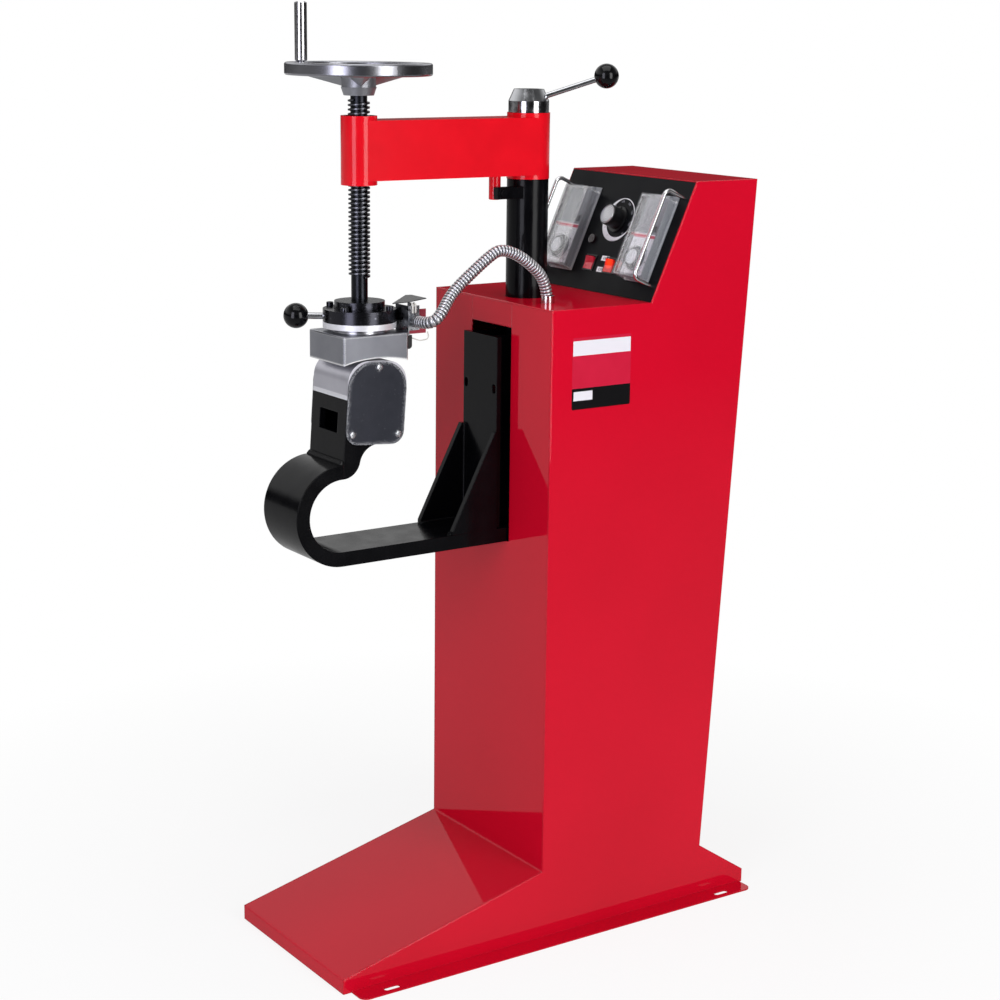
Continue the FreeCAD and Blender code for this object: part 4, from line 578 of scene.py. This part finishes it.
# The braid's diamonds are 0.7 mm wide.
braid = add(glass_sleeve, "TexVoronoi", {"Scale": 1 / 0.0007}, {"Vector": (add(glass_sleeve, "TexCoord"), "Object")})
add(glass_sleeve, "Mix", {"data_type": "RGBA", 6: linear("#DEDCD6"), 7: linear("#A9A79F")}, {0: braid},
    {"Base Color": 2})
add(glass_sleeve, "Bump", {"Distance": 0.0001, "Strength": 1.0, "invert": True}, {"Height": braid},
    {"Normal": "Normal"})
dress(glass_sleeve, "lead_wires")


# Conduit
# Hose wound from bright steel strip whose turns hook into each other, so it shows even ribs.
# It runs from the ferrule in the shelf up in a bow beside the column and down to the heater's connector,
# in three stretches, one after another.

rib_pitch = 0.0049
rib_crest = 0.0084
rib_root = 0.0071
rib_gap = 0.0075
# One rib, by its share of the pitch and its radius: the gap's floor, a steep flank, a crowned back
# and the other flank.
rib_line = [(0.14, rib_root), (0.2, 0.0079), (0.3, rib_crest - 0.0001), (0.45, rib_crest), (0.62, rib_crest),
            (0.74, rib_crest - 0.0003), (0.84, 0.0077), (0.88, rib_root), (1.0, rib_root)]
first_route = [(0.075, -0.015, 0.9265), (0.075, -0.015, 0.966), (0.075, -0.0556, 1.0003), (0.075, -0.0692, 1.0066)]
second_route = [(0.075, -0.0692, 1.0066), (0.075, -0.0927, 1.0175), (0.075, -0.1184, 1.006),
                (0.0758, -0.1604, 0.9736)]
third_route = [(0.0758, -0.1604, 0.9736), (0.0762, -0.1786, 0.9596), (0.0923, -0.2069, 0.9309),
               (0.0855, -0.2206, 0.921), (0.0575, -0.2206, 0.921)]

# The strip's backs are bright with a light tarnish. The gaps are painted darker, partly for dust and partly as
# painted shade.
strip_steel = new_finish("hooked_steel_strip", "#BDBDC0", 0.2, metallic=1.0)
grain(strip_steel, 0.006, 4.0, shades=("#B9B9BD", "#E6E6E9"), gloss=(0.3, 0.44))
gap_dust_and_shade = new_finish("dusty_shaded_strip_in_the_gaps", "#3C3C40", 0.5, metallic=0.9)
grain(gap_dust_and_shade, 0.003, 3.0, shades=("#4E4E54", "#808086"))


def hose(name, route):
    """A ribbed tube along the smooth spline of a route."""
    spline_data = bpy.data.curves.new(name + "_line", "CURVE")
    spline_data.dimensions = "3D"
    spline_data.resolution_u = 24
    spline = spline_data.splines.new("NURBS")
    spline.points.add(len(route) - 1)
    for point, place in zip(spline.points, route):
        point.co = (*place, 1.0)
    spline.order_u = 3
    spline.use_endpoint_u = True
    line = bpy.data.objects.new(name + "_line", spline_data)
    bpy.context.scene.collection.objects.link(line)
    bpy.context.view_layer.update()
    path_mesh = bpy.data.meshes.new_from_object(line)
    path = [v.co.copy() for v in path_mesh.vertices]
    bpy.data.meshes.remove(path_mesh)
    length = sum((b - a).length for a, b in zip(path, path[1:]))
    ribs = round(length / rib_pitch)
    step = length / ribs

    alone()
    bpy.ops.mesh.primitive_circle_add(vertices=24, radius=rib_root, rotation=(0, math.radians(90), 0))
    tube = named(name)
    settle(tube)
    bpy.ops.object.mode_set(mode="EDIT")
    bpy.ops.mesh.select_mode(type="VERT")
    bpy.ops.mesh.select_all(action="SELECT")
    reached, girth = 0.0, rib_root
    for share, wide in rib_line:
        bpy.ops.mesh.extrude_region_move(TRANSFORM_OT_translate={"value": (share * step - reached, 0, 0)})
        bpy.ops.transform.resize(value=(1, wide / girth, wide / girth), center_override=(share * step, 0, 0))
        reached, girth = share * step, wide
    close_edit()
    tube.data.materials.append(strip_steel)
    tube.data.materials.append(gap_dust_and_shade)
    # Faces down in the gaps take the darker finish: dust and painted shade.
    for face in tube.data.polygons:
        face.material_index = int(Vector((face.center.y, face.center.z)).length < rib_gap)
    row = tube.modifiers.new("row", "ARRAY")
    row.count = ribs
    row.use_merge_vertices = True
    row.merge_threshold = 0.00001
    bpy.ops.object.modifier_apply(modifier="row")
    bend = tube.modifiers.new("bend", "CURVE")
    bend.object = line
    bpy.ops.object.modifier_apply(modifier="bend")
    bpy.data.objects.remove(line)
    bpy.ops.object.mode_set(mode="EDIT")
    bpy.ops.mesh.select_all(action="SELECT")
    bpy.ops.mesh.normals_make_consistent(inside=False)
    close_edit()
    bpy.ops.object.shade_smooth_by_angle(angle=math.radians(50))
    return tube


conduit_first = hose("ribbed_conduit_first", first_route)
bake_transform(conduit_first)
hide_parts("conduit_first")
conduit_second = hose("ribbed_conduit_second", second_route)
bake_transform(conduit_second)
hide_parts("conduit_second")
conduit_third = hose("ribbed_conduit_third", third_route)
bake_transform(conduit_third)
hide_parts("conduit_third")


# Control panel
# A sheet anodised black and screen printed in white: a scale round the knob and plates for the switches.
# The ink stands 0.12 mm proud of the sheet.

panel_foot = (0, 0.114, 0.936)
panel_slope = math.radians(65.5)
panel_place = Matrix.Translation(panel_foot) @ Matrix.Rotation(panel_slope, 4, "X")
panel_middle = 0.006
knob_up = 0.114
ink = 0.00012
scale_radius = 0.0335
scale_width = 0.0013
scale_first, scale_last = -150, 135
scale_figure = 0.0048
crescent_edge = 0.0006
crescent_inner = 0.0307
crescent_shift = (0.0046, 0.0032, 0)
plate_size = (0.0175, 0.0078, ink)
plate_border = 0.0006
plate_word = 0.0058

panel_black = new_finish("black_anodised_sheet", "#0D0E11", 0.36, Specular_IOR_Level=0.08)
# The sheet was blasted to a fine matt before it was anodised, and hands have smeared it.
grain(panel_black, 0.0008, 2.0, relief=0.000008)
grain(panel_black, 0.05, 3.0, shades=("#08090B", "#101115"), gloss=(0.28, 0.46), over=(0.3, 0.7))
dress(panel_black, "control_panel")

# The inks carry the mark of the screen's mesh, 1.2 mm as it shows.
print_white = new_finish("white_screen_print", "#D8D8DC", 0.45)
grain(print_white, 0.0012, 2.0, shades=("#E4E4E8", "#F6F6F8"))
print_grey = new_finish("grey_screen_print", "#8E8E94", 0.5)
grain(print_grey, 0.0012, 2.0, shades=("#85858B", "#9A9AA0"))


def lay_on_panel(piece, x, up, out=0.0, body="root", finish=print_white):
    """Put a flat piece on the sloping panel, out from its face, and make it ride there."""
    settle(piece)
    piece.data.transform(panel_place @ Matrix.Translation((x, up, out)))
    if not piece.data.materials:
        piece.data.materials.append(finish)
    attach(piece, body)


def printed_arc(name, radius, width, first, last):
    """A printed arc about the knob, between two headings in degrees."""
    alone()
    bpy.ops.mesh.primitive_plane_add(size=1)
    arc = named(name)
    arc.scale = (width, 0.0001, 1)
    arc.location = (radius, 0, 0)
    settle(arc)
    # Only the plane's far edge stays, and is spun about the knob.
    choose(arc, lambda one, other: abs(one.y - other.y) > 0.00001 or one.y < 0, "EDGE")
    bpy.ops.mesh.delete(type="EDGE")
    bpy.ops.mesh.select_all(action="SELECT")
    bpy.ops.transform.rotate(value=-math.radians(first), orient_axis="Z", center_override=(0, 0, 0))
    bpy.ops.mesh.spin(steps=48, angle=math.radians(first - last), center=(0, 0, 0), axis=(0, 0, 1))
    bpy.ops.mesh.select_all(action="SELECT")
    bpy.ops.mesh.remove_doubles(threshold=0.000001)
    bpy.ops.mesh.normals_make_consistent(inside=False)
    close_edit()
    thick = arc.modifiers.new("thick", "SOLIDIFY")
    thick.thickness = ink
    thick.offset = 0
    bpy.ops.object.modifier_apply(modifier="thick")
    return arc


def printed_text(name, words, size, x, up, out=0.0, turn=0.0, finish=print_white):
    """Plain figures or a word printed on the panel or on what stands out from it."""
    alone()
    bpy.ops.object.text_add()
    text = named(name)
    text.data.body = words
    text.data.size = size
    text.data.align_x = "CENTER"
    text.data.align_y = "CENTER"
    text.data.extrude = ink / 2
    bpy.ops.object.convert(target="MESH")
    text = named(name)
    text.rotation_euler = (0, 0, turn)
    lay_on_panel(text, x, up, out + ink / 2, finish=finish)


printed_scale = printed_arc("printed_scale", scale_radius, scale_width, scale_first, scale_last)
lay_on_panel(printed_scale, panel_middle, knob_up, ink / 2)
# A crescent widens to 9 mm at the scale's cool end: a disc less a disc that is set over to the other side.
alone()
bpy.ops.mesh.primitive_cylinder_add(vertices=96, radius=scale_radius + crescent_edge, depth=ink)
crescent = named("printed_crescent")
bpy.ops.mesh.primitive_cylinder_add(vertices=96, radius=crescent_inner, depth=ink * 4, location=crescent_shift)
cut_out(crescent, named("crescent_cutter"))
lay_on_panel(crescent, panel_middle, knob_up, ink / 2)
figure_reach = scale_radius - 0.005
for count in range(9):
    heading = math.radians(scale_first + count * (scale_last - scale_first) / 8)
    printed_text(f"scale_figure_{count}", str(count * 25), scale_figure,
                 panel_middle + figure_reach * math.cos(heading), knob_up + figure_reach * math.sin(heading),
                 turn=heading - math.pi / 2, finish=print_grey)

# Black ink for the words on the white plates and for the timers' figures.
plate_black = new_finish("black_print", "#141417", 0.45)
grain(plate_black, 0.0012, 2.0, gloss=(0.38, 0.52))
for name, x, up in (("on", 0.0095, 0.0525), ("off", 0.0078, 0.0348)):
    alone()
    bpy.ops.mesh.primitive_cube_add(size=1, scale=plate_size)
    plate = named(f"switch_plate_{name}")
    settle(plate)
    choose(plate, lambda face: face.normal.z > 0.9)
    bpy.ops.mesh.inset(thickness=plate_border)
    bpy.ops.mesh.extrude_region_move(TRANSFORM_OT_translate={"value": (0, 0, -ink / 3)})
    close_edit()
    lay_on_panel(plate, x, up, ink / 2)
    printed_text(f"switch_word_{name}", name.upper(), plate_word, x, up, out=ink, finish=plate_black)


# Temperature knob and pilot lamp
# The knob is moulded black plastic on the thermostat's shaft, with a turned aluminium disc let into its top.
# The lamp is a small dark dome, unlit.

knob_out = 0.023
disc_radius = 0.0138
disc_rise = 0.0005
disc_rim = 0.0008
disc_middle = panel_place @ Vector((panel_middle, knob_up, knob_out))

knob_plastic = new_finish("moulded_black_abs", "#0C0C0E", 0.34)
# The mould's etched face leaves a fine sparkle.
grain(knob_plastic, 0.0008, 2.0, gloss=(0.28, 0.42), relief=0.00001)
dress(knob_plastic, "temperature_knob", "switch_frame_left", "switch_frame_right")


def panel_way(finish, middle=panel_foot):
    """Each place as the panel has it: across, up the slope and out, from the panel's foot or another middle."""
    return add(finish, "Mapping", {"vector_type": "TEXTURE", "Location": middle, "Rotation": (panel_slope, 0, 0)},
               {"Vector": (add(finish, "TexCoord"), "Object")})


alone()
bpy.ops.mesh.primitive_cylinder_add(vertices=64, radius=disc_radius, depth=disc_rise)
knob_disc = named("knob_disc")
choose(knob_disc, lambda face: face.normal.z > 0.9)
bpy.ops.mesh.bevel(offset=0.0002, segments=2)
bpy.ops.mesh.inset(thickness=disc_rim)
bpy.ops.mesh.extrude_region_move(TRANSFORM_OT_translate={"value": (0, 0, -0.0001)})
close_edit()
bpy.ops.object.shade_smooth_by_angle(angle=math.radians(30))
disc_metal = new_finish("turned_aluminium_disc", "#C9C9CD", 0.34, metallic=1.0, Anisotropic=0.8)
add(disc_metal, "Tangent", {"direction_type": "RADIAL", "axis": "Z"}, {}, {"Tangent": 0})
# Turning rings about the knob's axis, 0.4 mm apart so that they show.
turned = add(disc_metal, "TexWave", {"wave_type": "RINGS", "rings_direction": "Z", "Scale": 0.05 / 0.0004,
             "Distortion": 1.0}, {"Vector": panel_way(disc_metal, disc_middle)})
add(disc_metal, "Bump", {"Distance": 0.00006, "Strength": 1.0}, {"Height": (turned, "Fac")}, {"Normal": "Normal"})
add(disc_metal, "Mix", {"data_type": "RGBA", 6: linear("#A9A9AE"), 7: linear("#DCDCE0")}, {0: (turned, "Fac")},
    {"Base Color": 2})
lay_on_panel(knob_disc, panel_middle, knob_up, knob_out, body="temperature_dial", finish=disc_metal)

lamp_lens = new_finish("smoked_lamp_lens", "#1B1316", 0.15, Coat_Weight=0.4, Coat_Roughness=0.05)
# The smoke in the lens is a little uneven, 4 mm across.
grain(lamp_lens, 0.004, 2.0, shades=("#120D0F", "#2C171C"))
dress(lamp_lens, "pilot_lamp")


# Rocker switches
# Clear red rockers in black frames. The left one is off and dark; the right one's glow lamp is lit,
# brightest in the middle of its face.

lit_rocker = (0.0265, 0.047, 0.003)
glow_core, glow_edge = 0.002, 0.011

rocker_red = new_finish("clear_red_polycarbonate", "#B50F26", 0.22, Coat_Weight=0.4, Coat_Roughness=0.08)
# The clear red is deeper in places, 8 mm across.
grain(rocker_red, 0.008, 2.0, shades=("#C81830", "#E8304A"))
dress(rocker_red, "rocker_left")

rocker_lit = new_finish("lit_red_polycarbonate", "#D42418", 0.22, Coat_Weight=0.4, Coat_Roughness=0.08,
                        Emission_Color=linear("#FF2A0A"))
# The glow fades from the middle of the rocker to its ends.
from_lamp = add(rocker_lit, "VectorMath", {"operation": "DISTANCE", 1: panel_place @ Vector(lit_rocker)},
                {0: (add(rocker_lit, "TexCoord"), "Object")})
glow = add(rocker_lit, "MapRange", {"From Min": glow_core, "From Max": glow_edge, "To Min": 1.0, "To Max": 0.1},
           {"Value": (from_lamp, "Value")}, {"Emission Strength": 0})
add(rocker_lit, "Mix", {"data_type": "RGBA", 6: linear("#C01420"), 7: linear("#FF4A14")}, {0: glow},
    {"Base Color": 2})
dress(rocker_lit, "rocker_right")


# Timers
# Grey moulded plug-in timers under clear hinged covers. Each has a printed label with a red stripe at its
# head, a knob over the label with a light grey disc ringed by painted shadow, and a small black push at the upper
# right.

timer_out = 0.015
timer_spots = {"left": -0.087, "right": 0.099}
card_size, card_up = (0.046, 0.062, 0.0003), 0.0635
stripe_up, stripe_half = 0.0905, 0.0022
push_size, push_aside, push_up = (0.005, 0.0095, 0.0022), 0.0175, 0.103
dial_aside, dial_up = 0.093, 0.056
dial_disc = 0.0112
dial_figure = 0.0034
figure_ring = 0.0213
ring_radius, ring_wire = 0.0019, 0.00035
ring_spots = [(-0.0175, 0.0375), (0.0175, 0.0375), (-0.0165, 0.082)]

timer_grey = new_finish("moulded_grey_abs", "#84878D", 0.42)
# The mould's etched face shows as a mottle, 0.9 mm across.
grain(timer_grey, 0.0009, 2.0, shades=("#797C82", "#8F9298"), relief=0.00001)
dress(timer_grey, "timer_body_left", "timer_body_right")

skirt_grey = new_finish("moulded_light_grey_abs", "#B4B7BD", 0.4)
grain(skirt_grey, 0.0008, 2.0, relief=0.00001)
# The light disc is 22 mm across. Both knobs sit equally far from the panel's middle line.
on_panel = add(skirt_grey, "SeparateXYZ", {}, {"Vector": panel_way(skirt_grey)})
aside = add(skirt_grey, "Math", {"operation": "SUBTRACT", 1: panel_middle}, {0: (on_panel, "X")})
aside = add(skirt_grey, "Math", {"operation": "ABSOLUTE"}, {0: aside})
folded = add(skirt_grey, "CombineXYZ", {}, {"X": aside, "Y": (on_panel, "Y")})
from_shaft = add(skirt_grey, "VectorMath", {"operation": "DISTANCE", 1: (dial_aside, dial_up, 0)}, {0: folded})
# Outside the light disc the knob is painted dark grey: a painted shadow ring round the disc.
disc_in_painted_shadow_ring = add(skirt_grey, "MapRange", {"From Min": dial_disc + 0.0003, "From Max": dial_disc - 0.0003},
                  {"Value": (from_shaft, "Value")})
add(skirt_grey, "Mix", {"data_type": "RGBA", 6: linear("#5A5C62"), 7: linear("#D8DAE0")}, {0: disc_in_painted_shadow_ring},
    {"Base Color": 2})
dress(skirt_grey, "timer_knob_left", "timer_knob_right")

# White card with a red stripe printed across its head; its fibres show as faint clouds, 3 mm across.
label_card = new_finish("printed_white_card", "#CFCFD6", 0.5)
on_panel = add(label_card, "SeparateXYZ", {}, {"Vector": panel_way(label_card)})
stripe = add(label_card, "Math", {"operation": "COMPARE", 1: stripe_up, 2: stripe_half}, {0: (on_panel, "Y")})
card = add(label_card, "Mix", {"data_type": "RGBA", 6: linear("#DCDCE4"), 7: linear("#EEEEF2")},
           {0: grain(label_card, 0.003, 3.0)})
add(label_card, "Mix", {"data_type": "RGBA", 7: linear("#D0405A")}, {0: stripe, 6: (card, 2)}, {"Base Color": 2})


def topped_block(name, size, bevel, segments):
    """A block with its upper edges bevelled."""
    alone()
    bpy.ops.mesh.primitive_cube_add(size=1, scale=size)
    block = named(name)
    settle(block)
    choose(block, lambda face: face.normal.z > 0.9)
    bpy.ops.mesh.bevel(offset=bevel, segments=segments)
    close_edit()
    return block


for side, x in timer_spots.items():
    lay_on_panel(topped_block(f"timer_label_{side}", card_size, 0.0001, 2), x, card_up,
                 timer_out + card_size[2] / 2, finish=label_card)
    lay_on_panel(topped_block(f"timer_push_{side}", push_size, 0.0006, 3), x + push_aside, push_up,
                 timer_out + push_size[2] / 2, finish=knob_plastic)
    for count in range(7):
        heading = math.radians(240 - count * 50)
        printed_text(f"timer_figure_{side}_{count}", str(count * 5), dial_figure,
                     x + figure_ring * math.cos(heading), dial_up + figure_ring * math.sin(heading),
                     out=timer_out + card_size[2], finish=plate_black)
    for spot, (dx, up) in enumerate(ring_spots):
        alone()
        bpy.ops.mesh.primitive_torus_add(major_radius=ring_radius, minor_radius=ring_wire, major_segments=24,
                                         minor_segments=6)
        ring = named(f"timer_ring_{side}_{spot}")
        ring.scale = (1, 1, 0.6)
        lay_on_panel(ring, x + dx, up, timer_out + 0.0004, finish=plate_black)


# Timer covers and guards
# The covers are moulded in clear polycarbonate, a little smoky with handling, and swing up on a pin.
# The guards in front of them are bent from 6 mm rod and plated bright.

polycarbonate = new_finish("clear_polycarbonate", "#EEF0F3", 0.05, IOR=1.58, Transmission_Weight=1.0)
# Handling leaves a haze, 20 mm across.
grain(polycarbonate, 0.02, 4.0, gloss=(0.01, 0.05), over=(0.3, 0.7))
# The edges are painted milky and more opaque: a painted highlight of the light that the walls gather.
milky_edge_highlight = add(polycarbonate, "MapRange", {"From Min": 0.98, "From Max": 0.8},
            {"Value": edge_turn(polycarbonate, 0.003, 6)})
# Fine streaks up the cover, 3 mm apart, are painted highlights: streaks of reflected light, whiter and less clear.
drawn_out = add(polycarbonate, "Mapping", {"Scale": (1, 0.06, 1)}, {"Vector": panel_way(polycarbonate)})
flow_and_streak_noise = add(polycarbonate, "TexNoise", {"Scale": 1 / 0.003, "Detail": 3.0}, {"Vector": drawn_out})
streak_highlights = add(polycarbonate, "MapRange", {"From Min": 0.5, "From Max": 0.8, "To Max": 0.45}, {"Value": flow_and_streak_noise})
painted_highlights = add(polycarbonate, "Math", {"operation": "MAXIMUM"}, {0: streak_highlights, 1: milky_edge_highlight})
# Where the painted highlights lie, the cover is whiter and less clear.
add(polycarbonate, "MapRange", {"To Min": 0.36, "To Max": 0.85}, {"Value": painted_highlights}, {"Alpha": 0})
add(polycarbonate, "MapRange", {"To Min": 1.0, "To Max": 0.25}, {"Value": painted_highlights}, {"Transmission Weight": 0})
dress(polycarbonate, "timer_cover_left", "timer_cover_right")


# Camera
# It looks from the photograph's place, found from the edges of the cabinet in it.

eye = Vector((2.4618, -1.7201, 1.3316))
azimuth = math.radians(55.711)
pitch = math.radians(13.145)
roll = math.radians(0.685)
ahead = Vector((-math.sin(azimuth) * math.cos(pitch), math.cos(azimuth) * math.cos(pitch), -math.sin(pitch)))
right = Vector((math.cos(azimuth), math.sin(azimuth), 0))
up = right.cross(ahead)
camera_x = right * math.cos(roll) + up * math.sin(roll)
camera_y = up * math.cos(roll) - right * math.sin(roll)
lens = bpy.data.cameras.new("camera")
lens.sensor_width = 36.0
lens.lens = 74.56
lens.clip_end = 50
camera = bpy.data.objects.new("camera", lens)
camera.matrix_world = Matrix.Translation(eye) @ Matrix((camera_x, camera_y, -ahead)).transposed().to_4x4()
bpy.context.scene.collection.objects.link(camera)
bpy.context.scene.camera = camera


# Studio
# A pale floor and plain soft boxes: two tall ones, to the right and to the left in front, and one above.

ambient_level = 0.3


def soft_box(name, place, towards, size_x, size_y, power, colour="#FFFFFF"):
    """A rectangular lamp that looks from its place towards a point."""
    light = bpy.data.lights.new(name, "AREA")
    light.shape = "RECTANGLE"
    light.size = size_x
    light.size_y = size_y
    light.energy = power
    light.color = linear(colour)[:3]
    lamp = bpy.data.objects.new(name, light)
    lamp.location = place
    lamp.rotation_mode = "QUATERNION"
    lamp.rotation_quaternion = (Vector(towards) - Vector(place)).to_track_quat("-Z", "Y")
    bpy.context.scene.collection.objects.link(lamp)


# The two tall boxes stand on the floor, so that upright round pieces show them as bright bars.
soft_box("box_right", (3.4, 0.5, 1.5), (0, 0, 1.3), 1.4, 3.0, 71)
soft_box("box_left", (1.5, -3.0, 1.5), (0, 0, 1.3), 1.3, 3.0, 60, "#F0F0FF")
soft_box("box_top", (0.3, -0.2, 3.4), (0, 0, 0.75), 2.4, 2.4, 38)

alone()
bpy.ops.mesh.primitive_plane_add(size=40)
floor = named("studio_floor")
floor_white = new_finish("matt_white_floor", "#F2F2F2", 0.9)
tree = floor_white.node_tree
places = add(floor_white, "TexCoord")
from_foot = add(floor_white, "VectorMath", {"operation": "LENGTH"}, {0: (places, "Object")})
# The floor keeps the shadow round the foot and fades into the white behind.
far = add(floor_white, "MapRange", {"From Min": 0.5, "From Max": 1.3, "To Min": 0.84, "To Max": 1.0},
          {"Value": (from_foot, "Value")})
rays = add(floor_white, "LightPath")
seen = add(floor_white, "Math", {"operation": "MAXIMUM"},
           {0: (rays, "Is Camera Ray"), 1: (rays, "Is Transmission Ray")})
plain = add(floor_white, "Math", {"operation": "MULTIPLY"}, {0: seen, 1: far})
share = add(floor_white, "Math", {"operation": "MAXIMUM"}, {0: plain, 1: (rays, "Is Glossy Ray")})
# Metal and gloss show the floor bright to the left and dim to the right.
across = add(floor_white, "SeparateXYZ", {}, {"Vector": (places, "Object")})
dimmer = add(floor_white, "MapRange", {"From Min": -1.2, "From Max": 4.0, "To Min": 0.62, "To Max": 0.05},
             {"Value": (across, "X")})
level = add(floor_white, "Mix", {"data_type": "FLOAT", 2: 1.0}, {0: (rays, "Is Glossy Ray"), 3: dimmer})
glow = add(floor_white, "Emission", {"Color": (1, 1, 1, 1)}, {"Strength": level})
blend = add(floor_white, "MixShader", {}, {0: share, 1: (tree.nodes["Principled BSDF"], "BSDF"), 2: glow})
tree.links.new(blend.outputs["Shader"], tree.nodes["Material Output"].inputs["Surface"])
floor.data.materials.append(floor_white)

world = bpy.data.worlds.new("studio")
world.use_nodes = True
bpy.context.scene.world = world
rays = add(world, "LightPath")
seen = add(world, "Math", {"operation": "MAXIMUM"},
           {0: (rays, "Is Camera Ray"), 1: (rays, "Is Transmission Ray")})
# Seen in metal and gloss, the room is bright to the left and dimmer to the right, along the horizon and overhead.
way = add(world, "TexCoord")
way_parts = add(world, "SeparateXYZ", {}, {"Vector": (way, "Generated")})
sideways = add(world, "MapRange", {"From Min": -0.5, "From Max": 0.5, "To Min": 0.9, "To Max": 0.15},
               {"Value": (way_parts, "X")})
lift = add(world, "MapRange", {"From Min": 0.14, "From Max": 0.25, "To Min": 0.04, "To Max": 1.0},
           {"Value": (way_parts, "Z")})
ceiling = add(world, "MapRange", {"From Min": 0.45, "From Max": 0.8, "To Min": 1.2, "To Max": 0.35},
              {"Value": (way_parts, "Z")})
upward = add(world, "Math", {"operation": "MULTIPLY"}, {0: lift, 1: ceiling})
seen_in_gloss = add(world, "Math", {"operation": "MULTIPLY"}, {0: sideways, 1: upward})
mirrored = add(world, "Mix", {"data_type": "FLOAT", 2: ambient_level}, {0: (rays, "Is Glossy Ray"), 3: seen_in_gloss})
strength = add(world, "Math", {"operation": "MAXIMUM"}, {0: seen, 1: mirrored})
sky = world.node_tree.nodes["Background"]
sky.inputs["Color"].default_value = (1, 1, 1, 1)
world.node_tree.links.new(strength.outputs[0], sky.inputs["Strength"])

bpy.context.scene.view_settings.view_transform = "Standard"
